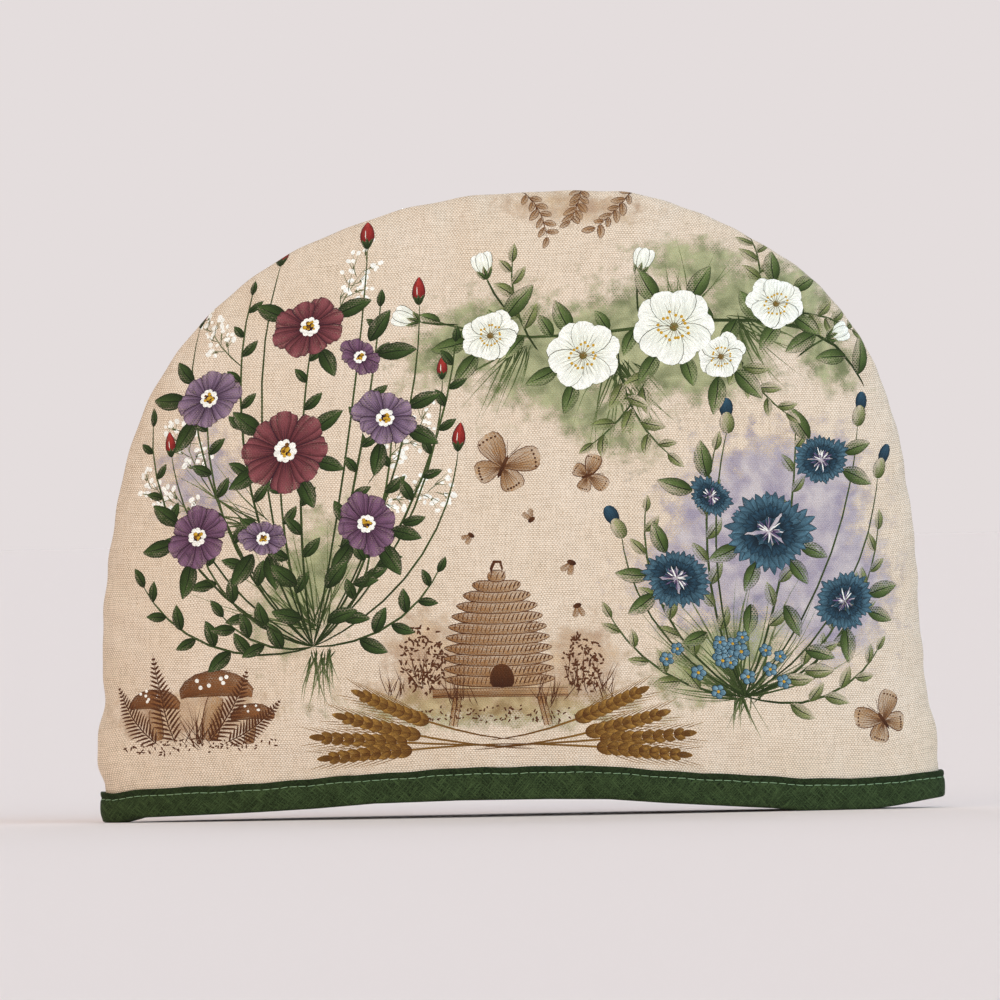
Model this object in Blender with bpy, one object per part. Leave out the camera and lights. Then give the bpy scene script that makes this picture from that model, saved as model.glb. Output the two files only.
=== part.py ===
"""A padded cloth tea cosy, standing on its hem with its mouth open.

Two dome-shaped padded panels are seamed together round their sides and top, and one folded strip of
bias-cut cloth binds the open lower edge. Metres, +Z up. The origin is on the surface that the cosy
stands on, under its middle. The front faces -Y, and the width runs along X.
"""

import bmesh
import bpy
import numpy as np

MM = 0.001

# The dome outline: |across / HALF_WIDTH| ** SIDE_POWER + (up / HEIGHT) ** TOP_POWER = 1.
HALF_WIDTH = 165.4 * MM
HEIGHT = 250.0 * MM
SIDE_POWER = 2.17
TOP_POWER = 3.85
FOOT_SHIFT = 0.64 * MM  # where the outline's middle stands at the hem
TOP_LEAN = 9.5 * MM  # how far the top leans to +X
MIDDLE_BOW = -4.9 * MM  # how far the middle of the height bows to -X

# How far the panels stand apart, from the middle plane to the outer face.
HALF_DEPTH = 48.0 * MM
TOP_TAPER = 0.45  # the share of the depth lost towards the top, before the seam draws it in
TAPER_POWER = 1.5
SEAM_ROUNDING = 0.62

WALL = 8.0 * MM  # padded wall
BOUND_WALL = 4.0 * MM  # wall squeezed inside the binding
SEAM_GAP = 0.3 * MM  # between the two panels' seam faces, and from binding to panel

BINDING_CLOTH = 1.2 * MM
BINDING_FOLD = 0.5 * MM  # how far the binding's folded edges are rounded off
BINDING_BELLY = 0.25 * MM  # how far each leg of the binding bows out at mid height
SQUEEZE_TOP = 10.6 * MM  # the binding squeezes the wall up to here, over the panel's edge
SWELL_HEIGHT = 20.0 * MM  # and the wall is back to its full thickness this far above
CORNER_BULK = 1.0 * MM  # the folded seam allowance under the binding at the side seams
CORNER_FLARE = 0.5 * MM  # how far the binding's upper edge stands out at the side seams
CORNER_REACH = 9.0 * MM  # how far round the corner the bulk and the flare go

PANEL_COLUMNS = 40
PANEL_ROWS = 26

# The lower edge, from the left end to the right end: how far it lifts off the surface, and how high
# the binding's outer leg is. It touches down at the left corner and right of the middle.
HEM = [
    {"across": -170, "lift": 0.0, "leg": 13.4},
    {"across": -161, "lift": 0.0, "leg": 12.6},
    {"across": -154, "lift": 1.9, "leg": 11.8},
    {"across": -133, "lift": 2.6, "leg": 11.4},
    {"across": -109, "lift": 3.4, "leg": 11.5},
    {"across": -85, "lift": 4.5, "leg": 11.8},
    {"across": -61, "lift": 6.1, "leg": 12.2},
    {"across": -25, "lift": 6.8, "leg": 12.7},
    {"across": 11, "lift": 6.7, "leg": 13.0},
    {"across": 35, "lift": 6.2, "leg": 12.8},
    {"across": 59, "lift": 4.2, "leg": 12.5},
    {"across": 83, "lift": 2.6, "leg": 12.1},
    {"across": 104, "lift": 1.2, "leg": 11.8},
    {"across": 114, "lift": 0.0, "leg": 12.0},
    {"across": 140, "lift": 0.0, "leg": 12.0},
    {"across": 150, "lift": 1.2, "leg": 11.8},
    {"across": 163, "lift": 3.5, "leg": 11.5},
    {"across": 170, "lift": 4.8, "leg": 11.9},
]

# Where the side seams bulge (+) or draw in (-): which side, how high, over what height, how far.
SEAM_FORM = [
    {"side": -1, "up": 11, "spread": 15, "out": 2.3},
    {"side": -1, "up": 32, "spread": 9, "out": 2.6},
    {"side": -1, "up": 49, "spread": 8, "out": -1.2},
    {"side": -1, "up": 120, "spread": 30, "out": -1.5},
    {"side": -1, "up": 184, "spread": 18, "out": 1.4},
    {"side": 1, "up": 13, "spread": 17, "out": 3.3},
    {"side": 1, "up": 76, "spread": 26, "out": -1.3},
    {"side": 1, "up": 126, "spread": 18, "out": -0.9},
    {"side": 1, "up": 192, "spread": 16, "out": 0.9},
]

# Where the top seam rises (+) or sinks (-): where across, over what width, how far.
TOP_FORM = [
    {"across": 46, "spread": 20, "out": 1.8},
    {"across": 102, "spread": 15, "out": -2.2},
    {"across": -66, "spread": 30, "out": -0.9},
]

# Soft swells (+) and hollows (-) of each padded panel, seen from the front: the middle, the spread
# and how far it stands out.
PANEL_FORM = {
    "front_panel": [
        {"across": -96, "up": 62, "wide": 52, "high": 34, "out": 1.6},
        {"across": -20, "up": 48, "wide": 60, "high": 26, "out": -1.4},
        {"across": 88, "up": 84, "wide": 44, "high": 46, "out": 1.5},
        {"across": 24, "up": 150, "wide": 58, "high": 40, "out": -1.2},
        {"across": -72, "up": 176, "wide": 40, "high": 30, "out": 1.3},
    ],
    "back_panel": [
        {"across": 82, "up": 58, "wide": 50, "high": 32, "out": 1.5},
        {"across": -6, "up": 92, "wide": 62, "high": 44, "out": -1.5},
        {"across": -92, "up": 118, "wide": 42, "high": 48, "out": 1.3},
    ],
}

FRONT = -1
BACK = 1
PRINTED_CANVAS = (0.71, 0.60, 0.43, 1.0)
BINDING_GREEN = (0.020, 0.045, 0.018, 1.0)


def material(name, colour, roughness):
    """A plain woven cloth of one colour."""
    made = bpy.data.materials.new(name)
    made.use_nodes = True
    shader = made.node_tree.nodes["Principled BSDF"]
    shader.inputs["Base Color"].default_value = colour
    shader.inputs["Roughness"].default_value = roughness
    shader.inputs["Metallic"].default_value = 0.0
    return made


def hem_value(across, column):
    """A value of the HEM table at a place across, in metres."""
    places = [row["across"] * MM for row in HEM]
    values = [row[column] * MM for row in HEM]
    return np.interp(across, places, values)


def smooth(t):
    """0 below 0, 1 above 1, and a soft step between."""
    t = np.clip(t, 0.0, 1.0)
    return t * t * (3.0 - 2.0 * t)


def bump(distance):
    """A soft bump of height 1 at 0, which dies out at about 2."""
    return np.exp(-distance * distance)


def middle_line(rise):
    """Where the outline's middle is across, at a share of the height."""
    return FOOT_SHIFT + TOP_LEAN * rise**2 + MIDDLE_BOW * 4.0 * rise * (1.0 - rise)


def squeeze(up):
    """How far each face of the wall is drawn in by the binding, at a height over the panel's edge."""
    return 0.5 * (WALL - BOUND_WALL) * (1.0 - smooth((up - SQUEEZE_TOP) / SWELL_HEIGHT))


def side_shrink(column):
    """How far a full grid column rises, as a share of the height: the outer ones end lower."""
    return (1.0 - abs(column) ** SIDE_POWER / 2.0) ** (1.0 / TOP_POWER)


def dome_point(column, row, facing, inner, form):
    """The place of a grid point of a panel.

    column runs from -1 to 1 along the hem and row from 0 to 1 up the panel. inner says which face of
    the wall it is on. Both side edges and the top edge of the grid lie on the dome's outline.
    """
    rise = row * side_shrink(column)
    reach = column * (1.0 - row**TOP_POWER / 2.0) ** (1.0 / SIDE_POWER)
    inside = (1.0 - abs(column) ** SIDE_POWER) * (1.0 - row**TOP_POWER)

    drawn_in = squeeze(rise * HEIGHT)
    offset = WALL - drawn_in if inner else drawn_in
    across = middle_line(rise) + reach * (HALF_WIDTH - offset)
    up = rise * (HEIGHT - (WALL if inner else 0.0))
    taper = 1.0 - TOP_TAPER * rise**TAPER_POWER
    depth = (HALF_DEPTH * taper - offset) * max(inside, 0.0) ** SEAM_ROUNDING

    near_seam = abs(reach) ** 6
    for row_form in SEAM_FORM:
        if row_form["side"] * column > 0:
            away = (up - row_form["up"] * MM) / (row_form["spread"] * MM)
            across += row_form["side"] * row_form["out"] * MM * near_seam * bump(away)
    for row_form in TOP_FORM:
        away = (across - row_form["across"] * MM) / (row_form["spread"] * MM)
        up += row_form["out"] * MM * rise**6 * bump(away)
    for swell in form:
        sideways = (across - swell["across"] * MM) / (swell["wide"] * MM)
        upward = (up - swell["up"] * MM) / (swell["high"] * MM)
        depth += swell["out"] * MM * bump(sideways) * bump(upward) * smooth(4.0 * inside)

    foot = hem_value(FOOT_SHIFT + column * HALF_WIDTH, "lift") + BINDING_CLOTH + SEAM_GAP
    up += foot * (1.0 - rise) ** 2
    return across, facing * (depth + 0.5 * SEAM_GAP), up


def spread_columns(t):
    """Evenly spaced -1..1, drawn together towards both ends, where the wall turns to the seam."""
    return 0.35 * t + 0.65 * np.sin(0.5 * np.pi * t)


def spread_rows(t):
    """Evenly spaced 0..1, drawn together towards the hem and the top seam."""
    return 0.62 * t + 0.38 * np.sin(0.5 * np.pi * t)


def mesh_object(name, work, collection, cloth):
    """A smooth-shaded object from a closed bmesh, with its faces turned out."""
    bmesh.ops.recalc_face_normals(work, faces=work.faces)
    if work.calc_volume(signed=True) < 0.0:
        bmesh.ops.reverse_faces(work, faces=work.faces)
    mesh = bpy.data.meshes.new(name)
    work.to_mesh(mesh)
    work.free()
    mesh.materials.append(cloth)
    mesh.shade_smooth()
    mesh.set_sharp_from_angle(angle=np.radians(50.0))
    made = bpy.data.objects.new(name, mesh)
    collection.objects.link(made)
    return made


def padded_panel(name, facing, collection, cloth):
    """One padded panel: a flat grid thickened into a slab, and then bent over the dome."""
    work = bmesh.new()
    bmesh.ops.create_grid(work, x_segments=PANEL_COLUMNS, y_segments=PANEL_ROWS, size=1.0)
    for vert in work.verts:
        vert.co.z = 0.0
    slab = bmesh.ops.extrude_face_region(work, geom=work.faces[:], use_keep_orig=True)
    for item in slab["geom"]:
        if isinstance(item, bmesh.types.BMVert):
            item.co.z = 1.0
    for vert in work.verts:
        column = spread_columns(vert.co.x)
        row = spread_rows(0.5 * (vert.co.y + 1.0))
        inner = vert.co.z > 0.5
        vert.co = dome_point(column, row, facing, inner, PANEL_FORM[name])
    return mesh_object(name, work, collection, cloth)


def mouth_stations():
    """The stations round the mouth: along the front from left to right, and back along the back.

    They stand at the panels' own grid columns, so the binding runs parallel to the panels' edges.
    """
    steps = np.linspace(-1.0, 1.0, PANEL_COLUMNS + 1)
    front = [(spread_columns(t), FRONT) for t in steps]
    back = [(spread_columns(t), BACK) for t in steps[-2:0:-1]]
    for corner in (0, PANEL_COLUMNS):
        front[corner] = (front[corner][0], 0)
    return front + back


def wall_face(station, height, inner):
    """A point of the panels' face at a station of the mouth, at a height over the panels' edge."""
    column, facing = station
    form = PANEL_FORM["back_panel" if facing == BACK else "front_panel"]
    row = max(height, 0.0) / (HEIGHT * side_shrink(column))
    return np.array(dome_point(column, row, facing, inner, form))


def binding_section(leg):
    """The folded strip cut across: (on the inner face?, height over the panel's edge, how far off).

    It runs down the outer leg, under the panel's edge, up the inner leg and back along the lining
    side of the fold, so the section is one closed ring.
    """
    top = leg - BINDING_CLOTH - SEAM_GAP
    under = -SEAM_GAP - BINDING_CLOTH
    far = SEAM_GAP + BINDING_CLOTH
    ring = []
    for inner in (False, True):
        outside = [
            (inner, top, far - BINDING_FOLD),
            (inner, top - BINDING_FOLD, far),
            (inner, 0.5 * top, far + BINDING_BELLY),
            (inner, 0.0, far),
            (inner, under + BINDING_FOLD, far - BINDING_FOLD),
            (inner, under, 0.0),
        ]
        inside = [
            (inner, -SEAM_GAP, 0.0),
            (inner, 0.0, SEAM_GAP),
            (inner, 0.5 * top, SEAM_GAP),
            (inner, top, SEAM_GAP),
        ]
        ring.append((outside, inside))
    (outer_leg, outer_back), (inner_leg, inner_back) = ring
    return outer_leg + inner_leg[::-1] + inner_back[::-1] + outer_back


def binding_point(stations, index, spot):
    """The place of one section point at one station round the mouth."""
    inner, height, off = spot
    count = len(stations)
    here = wall_face(stations[index], height, inner)
    ahead = wall_face(stations[(index + 1) % count], height, inner)
    behind = wall_face(stations[index - 1], height, inner)
    run = ahead - behind
    outward = np.array([run[1], -run[0], 0.0]) / np.hypot(run[0], run[1])
    corner = bump(here[1] / CORNER_REACH) * smooth(4.0 * abs(here[0]) / HALF_WIDTH - 3.0)
    if not inner and off > SEAM_GAP:
        off += (CORNER_BULK + CORNER_FLARE * smooth(height / SQUEEZE_TOP)) * corner
    here += outward * (-off if inner else off)
    here[2] += min(height, 0.0)
    return here


def hem_binding(collection, cloth):
    """The binding: a grid with a column for each station and a row for each section point, rolled up
    into a ring that goes once round the mouth."""
    stations = mouth_stations()
    rows = len(binding_section(HEM[0]["leg"] * MM))
    work = bmesh.new()
    bmesh.ops.create_grid(work, x_segments=len(stations), y_segments=rows, size=1.0)
    for vert in work.verts:
        index = round(0.5 * (vert.co.x + 1.0) * len(stations)) % len(stations)
        row = round(0.5 * (vert.co.y + 1.0) * rows) % rows
        leg = hem_value(FOOT_SHIFT + stations[index][0] * HALF_WIDTH, "leg")
        vert.co = binding_point(stations, index, binding_section(leg)[row])
    bmesh.ops.remove_doubles(work, verts=work.verts, dist=0.001 * MM)
    return mesh_object("hem_binding", work, collection, cloth)


def main():
    for old in list(bpy.data.objects):
        bpy.data.objects.remove(old, do_unlink=True)
    collection = bpy.data.collections.new("tea_cosy")
    bpy.context.scene.collection.children.link(collection)
    canvas = material("printed_canvas", PRINTED_CANVAS, 0.9)
    padded_panel("front_panel", FRONT, collection, canvas)
    padded_panel("back_panel", BACK, collection, canvas)
    hem_binding(collection, material("bias_cotton", BINDING_GREEN, 0.85))


main()
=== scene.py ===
"""A padded cloth tea cosy that stands on its bound hem, with its cloth, print, binding and stitches.

Lengths are in millimetres in the functions that work out shapes, and turn to metres when a mesh is
made. +Z is up, the front panel faces -Y, and the frame's solids carry every piece.
"""

import math

import bpy
import numpy as np
from mathutils import Matrix, Vector, geometry


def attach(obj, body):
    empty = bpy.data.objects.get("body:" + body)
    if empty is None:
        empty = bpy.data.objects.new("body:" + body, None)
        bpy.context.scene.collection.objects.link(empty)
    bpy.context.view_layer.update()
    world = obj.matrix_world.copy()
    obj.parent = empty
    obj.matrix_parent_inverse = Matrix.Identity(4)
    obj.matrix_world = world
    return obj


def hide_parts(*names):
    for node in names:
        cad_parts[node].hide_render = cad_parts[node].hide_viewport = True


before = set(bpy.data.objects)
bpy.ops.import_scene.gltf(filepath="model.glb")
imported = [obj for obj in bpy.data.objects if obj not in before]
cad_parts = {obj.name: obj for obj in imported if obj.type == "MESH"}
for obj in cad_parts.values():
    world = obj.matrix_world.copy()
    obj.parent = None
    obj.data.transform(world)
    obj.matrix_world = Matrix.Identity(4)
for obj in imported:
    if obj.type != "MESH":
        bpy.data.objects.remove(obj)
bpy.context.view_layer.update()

MM = 0.001

# ---------------------------------------------------------------- sizes of the cosy, in millimetres

# The dome outline: |across / HALF_WIDTH| ** SIDE_POWER + (up / HEIGHT) ** TOP_POWER = 1.
HALF_WIDTH = 165.4
HEIGHT = 250.0
SIDE_POWER = 2.17
TOP_POWER = 3.85
FOOT_SHIFT = 0.64  # where the outline's middle stands at the hem
TOP_LEAN = 9.5  # how far the top leans to +X
MIDDLE_BOW = -4.9  # how far the middle of the height bows to -X
HALF_DEPTH = 48.0  # from the middle plane to a panel's outer face
TOP_TAPER = 0.45  # the share of the depth lost towards the top, before the seam draws it in
TAPER_POWER = 1.5  # how late it goes
SEAM_ROUNDING = 0.62  # the lower, the blunter the padded face turns in to the seam
WALL = 8.0  # padded wall
BOUND_WALL = 4.0  # wall squeezed inside the binding
PANEL_GAP = 0.06  # between the two panels where the seam thread holds them together
SEAM_GAP = 0.3  # between the binding and the panels
BINDING_CLOTH = 1.2
SQUEEZE_TOP = 10.6  # the binding squeezes the wall up to here, over the panel's edge
SWELL_HEIGHT = 20.0  # and the wall is back to its full thickness this far above
CORNER_BULK = 1.0  # the folded seam allowance under the binding at the side seams
CORNER_FLARE = -0.4  # how far the binding's upper edge is drawn in (-) there
CORNER_REACH = 9.0  # how far round the corner the bulk goes
CORNER_FROM = 0.75  # and from where across it starts, as a share of the half width


def table(columns, *rows):
    """The rows of a table, each with its values under the columns' names."""
    return [dict(zip(columns.split(), row)) for row in rows]


# The lower edge, from its left end to its right end: how far it lifts off what the cosy stands on, and
# how high the binding's outer leg is.
HEM = table(
    "across lift leg",
    (-170, 0.0, 13.1),
    (-161, 0.0, 12.2),
    (-154, 1.9, 11.4),
    (-133, 2.6, 11.6),
    (-109, 3.4, 12.1),
    (-85, 4.5, 12.2),
    (-61, 6.1, 12.7),
    (-25, 6.8, 13.6),
    (11, 6.7, 14.3),
    (35, 6.2, 13.8),
    (59, 4.2, 13.7),
    (83, 2.6, 12.9),
    (104, 1.2, 12.9),
    (114, 0.0, 13.3),
    (140, 0.0, 12.5),
    (150, 1.2, 12.1),
    (163, 3.5, 11.3),
    (170, 4.8, 11.5),
)

# Where the side seams bulge (+) or draw in (-): which side, how high, over what height, how far.
SEAM_FORM = table(
    "side up spread out",
    (-1, 1, 7, 1.5),
    (-1, 11, 15, 2.3),
    (-1, 21, 7, 2.3),
    (-1, 32, 12, 2.5),
    (-1, 49, 8, -0.9),
    (-1, 120, 30, -1.5),
    (-1, 184, 18, 1.4),
    (1, 1, 6, 0.8),
    (1, 13, 17, 3.3),
    (1, 24, 9, 1.3),
    (1, 76, 26, -1.3),
    (1, 126, 18, -0.9),
    (1, 192, 16, 0.9),
)

SIDE_FADE = 6  # how fast a side seam's form dies out towards the middle
TOP_FADE = 6  # and a top seam's
WAVER_FADE = 8  # and the seam's waver

# Where the top seam rises (+) or sinks (-): where across, over what width, how far.
TOP_FORM = table(
    "across spread out",
    (46, 20, 1.8),
    (102, 15, -2.2),
    (-66, 30, -0.9),
)

# Soft swells (+) and hollows (-) of each padded panel, seen from the front: the middle, the spread and
# how far it stands out.
FRONT_FORM = table(
    "across up wide high out",
    (-96, 62, 52, 34, 1.6),
    (-20, 48, 60, 26, -1.4),
    (88, 84, 44, 46, 1.5),
    (24, 150, 58, 40, -1.2),
    (-72, 176, 40, 30, 1.3),
)
BACK_FORM = table(
    "across up wide high out",
    (82, 58, 50, 32, 1.5),
    (-6, 92, 62, 44, -1.5),
    (-92, 118, 42, 48, 1.3),
)

FRONT = -1
BACK = 1

GROOVE_DEPTH = 1.0  # the crease that the seam thread pulls into the edge
GROOVE_WIDTH = 1.8
GROOVE_MIDDLE = (0.0, 0.0, 0.35 * HEIGHT)  # where it is pulled towards
GROOVE_END = 6.0  # it fades out this far over the binding's squeeze
WAVER = 0.22  # how far the seam wavers in and out
WAVER_FROM = 40.0  # above the binding, from about this height
WAVER_LONG = (4.1, 5.3)  # how fast its longer waves turn, going up and going across
WAVER_SHORT = (2.6, 3.4)
PUCKER_LENGTH = 25.0  # from one seam pucker to the next
PUCKER_HEIGHT = 0.75
PUCKER_REACH = 7.0  # how far in from the seam a pucker is highest
PUCKER_SWAY = (1.4, 83.0)  # how much the puckers' spacing sways, and over what length
PUCKER_SHARE = (0.65, 0.35, 131.0)  # their usual height, how much it varies, and over what length
GATHER_LENGTH = 8.0  # the fine gathers that the seam thread draws up right beside it
GATHER_HEIGHT = 0.16
GATHER_REACH = 2.6
GATHER_SWAY = (1.9, 37.0)
RIPPLE_LENGTH = 15.0  # the small ripples that the binding's stitching raises above it
RIPPLE_HEIGHT = 0.35
RIPPLE_SWAY = (1.1, 19.0)
RIPPLE_RISE = 4.0  # they rise over this height
RIPPLE_FADE = 9.0  # and fade over this one
PADDING_LUMP = 0.3  # how far the padding pushes the cloth out unevenly
LUMP_ACROSS = (11.3, 1.7, 17.0)  # how fast the lumps turn, how much they sway, and how fast
LUMP_UP = (9.1, 1.3, 23.0)
LUMP_FROM = 20.0  # how far in from the seam the lumps are full
PANEL_SHIFT = 40.0  # sets the back panel's puckers apart from the front one's

CLOTH_STEP = 3.7  # from point to point of a panel's outer cloth
INNER_STEP = 7.0  # and of its inner cloth
OUTLINE_STEP = 2.0  # from point to point of the seam
FLAT_MAP = "OFBake"  # the map that spreads a piece flat in the unit square


# ---------------------------------------------------------------------------- the panels' own shape


def smooth(t):
    """0 below 0, 1 above 1, and a soft step between."""
    t = np.clip(t, 0.0, 1.0)
    return t * t * (3.0 - 2.0 * t)


def bump(distance):
    """A soft bump of height 1 at 0, which dies out at about 2."""
    return np.exp(-distance * distance)


def unit(vectors):
    """Vectors brought to length 1."""
    return vectors / np.maximum(np.linalg.norm(vectors, axis=-1, keepdims=True), 1e-9)


def hem_value(across, column):
    """A value of the HEM table at places across."""
    return np.interp(across, [row["across"] for row in HEM], [row[column] for row in HEM])


def side_shrink(column):
    """How far a full grid column rises, as a share of the height: the outer ones end lower."""
    return (1.0 - abs(column) ** SIDE_POWER / 2.0) ** (1.0 / TOP_POWER)


def squeeze(up):
    """How far each face of the wall is drawn in by the binding, at a height over the panel's edge."""
    return 0.5 * (WALL - BOUND_WALL) * (1.0 - smooth((up - SQUEEZE_TOP) / SWELL_HEIGHT))


def outline_share(across, up, half_width, height):
    """0 at the hem's middle and 1 on the dome's outline."""
    return abs(across / half_width) ** SIDE_POWER + (np.maximum(up, 0.0) / height) ** TOP_POWER


def dome(column, row, facing, inner=False):
    """Places on a panel's outer or inner face. column runs -1..1 along the hem, row 0..1 up."""
    column = np.asarray(column, float)
    row = np.asarray(row, float)
    rise = row * side_shrink(column)
    reach = column * (1.0 - row**TOP_POWER / 2.0) ** (1.0 / SIDE_POWER)
    inside = np.maximum((1.0 - abs(column) ** SIDE_POWER) * (1.0 - row**TOP_POWER), 0.0)
    drawn_in = squeeze(rise * HEIGHT)
    offset = WALL - drawn_in if inner else drawn_in
    middle = FOOT_SHIFT + TOP_LEAN * rise**2 + MIDDLE_BOW * 4.0 * rise * (1.0 - rise)
    across = middle + reach * (HALF_WIDTH - offset)
    up = rise * (HEIGHT - (WALL if inner else 0.0))
    taper = 1.0 - TOP_TAPER * rise**TAPER_POWER
    depth = (HALF_DEPTH * taper - offset) * inside**SEAM_ROUNDING
    for form in SEAM_FORM:
        near = np.where(form["side"] * column > 0, abs(reach) ** SIDE_FADE, 0.0)
        across += form["side"] * form["out"] * near * bump((up - form["up"]) / form["spread"])
    for form in TOP_FORM:
        up += form["out"] * rise**TOP_FADE * bump((across - form["across"]) / form["spread"])
    near_seam = np.clip(outline_share(reach, row, 1.0, 1.0), 0.0, 1.0) ** WAVER_FADE
    near_seam = near_seam * smooth(up / WAVER_FROM)
    waver = np.sin(up / WAVER_LONG[0] + across / WAVER_LONG[1])
    waver = waver + 0.8 * np.sin(up / WAVER_SHORT[0] - across / WAVER_SHORT[1] + 1.0)
    across += np.sign(column) * WAVER * waver * near_seam * (1.0 - rise**3)
    up += WAVER * waver * near_seam * rise**3
    for form in FRONT_FORM if facing == FRONT else BACK_FORM:
        share = bump((across - form["across"]) / form["wide"]) * bump((up - form["up"]) / form["high"])
        depth += form["out"] * share * smooth(4.0 * inside)
    foot = hem_value(FOOT_SHIFT + column * HALF_WIDTH, "lift") + BINDING_CLOTH + SEAM_GAP
    up += foot * (1.0 - rise) ** 2
    return np.stack([across, facing * (depth + 0.5 * PANEL_GAP), up], axis=-1)


# ------------------------------------------------------------------ the flat cloth and how it bends


def arc_lengths(points):
    """The length along a line of points, from its first point to each one."""
    steps = np.linalg.norm(np.diff(points, axis=0), axis=1)
    return np.concatenate([[0.0], np.cumsum(steps)])


GRID_STEPS = np.sin(np.linspace(0.0, 0.5 * np.pi, 600))


def bulge_lengths(reach, power, taper):
    """How long the cloth is over the bulge, from the hem's middle out to each of the grid's steps."""
    depth = HALF_DEPTH * taper * (1.0 - GRID_STEPS**power) ** SEAM_ROUNDING
    return arc_lengths(np.stack([GRID_STEPS * reach, depth], axis=1))


COLUMN_LENGTHS = bulge_lengths(HALF_WIDTH, SIDE_POWER, 1.0)
ROW_LENGTHS = bulge_lengths(HEIGHT, TOP_POWER, 1.0 - TOP_TAPER * GRID_STEPS**TAPER_POWER)

# The panel laid out flat: the same kind of outline, as wide and high as the cloth is over its bulge.
FLAT_HALF_WIDTH = COLUMN_LENGTHS[-1]
FLAT_HEIGHT = ROW_LENGTHS[-1]
LEAST_SLOPE = 2.0 / FLAT_HALF_WIDTH  # of the outline's share, so that no distance grows endless


def flat_to_grid(across, up):
    """The dome's (column, row) under places on the flat cloth."""
    a_power = abs(across / FLAT_HALF_WIDTH) ** SIDE_POWER
    b_power = (np.maximum(up, 0.0) / FLAT_HEIGHT) ** TOP_POWER
    half = 1.0 - 0.5 * (a_power - b_power)
    row_power = half - np.sqrt(np.maximum(half * half - 2.0 * b_power, 0.0))
    column_power = row_power + a_power - b_power
    along_hem = np.clip(column_power, 0.0, 1.0) ** (1.0 / SIDE_POWER) * FLAT_HALF_WIDTH
    up_middle = np.clip(row_power, 0.0, 1.0) ** (1.0 / TOP_POWER) * FLAT_HEIGHT
    column = np.sign(across) * np.interp(along_hem, COLUMN_LENGTHS, GRID_STEPS)
    return column, np.interp(up_middle, ROW_LENGTHS, GRID_STEPS)


def flat_outline(step):
    """The seam's line on the flat cloth, from the hem's left end over the top to its right end."""
    turn = np.linspace(0.0, np.pi, 4000)
    across = -np.sign(np.cos(turn)) * abs(np.cos(turn)) ** (2.0 / SIDE_POWER) * FLAT_HALF_WIDTH
    up = np.sin(turn) ** (2.0 / TOP_POWER) * FLAT_HEIGHT
    line = np.stack([across, up], axis=1)
    lengths = arc_lengths(line)
    count = int(round(lengths[-1] / step))
    places = np.linspace(0.0, lengths[-1], count + 1)
    return np.stack([np.interp(places, lengths, line[:, k]) for k in (0, 1)], axis=1)


OUTLINE = flat_outline(OUTLINE_STEP)
OUTLINE_LENGTHS = arc_lengths(OUTLINE)
OUTLINE_TURNS = np.arctan2(OUTLINE[:, 1] / FLAT_HEIGHT, -OUTLINE[:, 0] / FLAT_HALF_WIDTH)


def seam_distance(across, up):
    """How far places on the flat cloth are from the seam, and how far along it."""
    share = outline_share(across, up, FLAT_HALF_WIDTH, FLAT_HEIGHT)
    slope_across = SIDE_POWER * abs(across / FLAT_HALF_WIDTH) ** (SIDE_POWER - 1) / FLAT_HALF_WIDTH
    slope_up = TOP_POWER * (np.maximum(up, 0.0) / FLAT_HEIGHT) ** (TOP_POWER - 1) / FLAT_HEIGHT
    slope = np.maximum(np.hypot(slope_across, slope_up), LEAST_SLOPE)
    turn = np.arctan2(np.maximum(up, 0.0) / FLAT_HEIGHT, -across / FLAT_HALF_WIDTH)
    return np.maximum(1.0 - share, 0.0) / slope, np.interp(turn, OUTLINE_TURNS, OUTLINE_LENGTHS)


def wave(place, length, sway, shift=0.0, slow_shift=0.0):
    """A wave along a line, whose spacing sways by a share of a turn over a second length."""
    amount, over = sway
    slow = np.sin(2 * np.pi * place / over + slow_shift)
    return np.sin(2 * np.pi * (place + shift) / length + amount * slow)


def hump(away, reach):
    """Rises from 0 at the seam to 1 at reach, and then dies out."""
    return away / reach * np.exp(1.0 - away / reach)


def relief(across, up, away, along, facing):
    """How far the cloth stands out of its smooth dome: puckers, ripples over the hem, lumps."""
    drift = facing * PANEL_SHIFT
    usual, varies, over = PUCKER_SHARE
    uneven = usual + varies * np.sin(2 * np.pi * along / over + drift)
    puckers = wave(along, PUCKER_LENGTH, PUCKER_SWAY, shift=drift)
    height = PUCKER_HEIGHT * puckers * uneven * hump(away, PUCKER_REACH)
    gathers = wave(along, GATHER_LENGTH, GATHER_SWAY, slow_shift=drift)
    height += GATHER_HEIGHT * gathers * uneven * hump(away, GATHER_REACH)
    over_hem = np.maximum(up - SQUEEZE_TOP, 0.0)
    sway, over = RIPPLE_SWAY
    ripple = np.sin(2 * np.pi * across / RIPPLE_LENGTH + sway * np.sin(across / over + drift))
    height += RIPPLE_HEIGHT * ripple * smooth(over_hem / RIPPLE_RISE) * np.exp(-over_hem / RIPPLE_FADE)
    turn, sway, over = LUMP_ACROSS
    lumps = np.sin(across / turn + sway * np.sin(up / over + drift))
    turn, sway, over = LUMP_UP
    lumps = lumps * np.sin(up / turn + sway * np.sin(across / over))
    return height + PADDING_LUMP * lumps * smooth(away / LUMP_FROM)


def cloth_place(flat, facing):
    """Where points of the flat cloth lie on a panel's outer face."""
    across, up = flat[:, 0], flat[:, 1]
    column, row = flat_to_grid(across, up)
    place = dome(column, row, facing)
    away, along = seam_distance(across, up)
    place[:, 1] += facing * relief(across, up, away, along, facing)
    inward = GROOVE_MIDDLE - place
    inward[:, 1] = 0.0
    over_hem = smooth((up - SQUEEZE_TOP) / GROOVE_END)
    return place + unit(inward) * (GROOVE_DEPTH * bump(away / GROOVE_WIDTH) * over_hem)[:, None]


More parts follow.
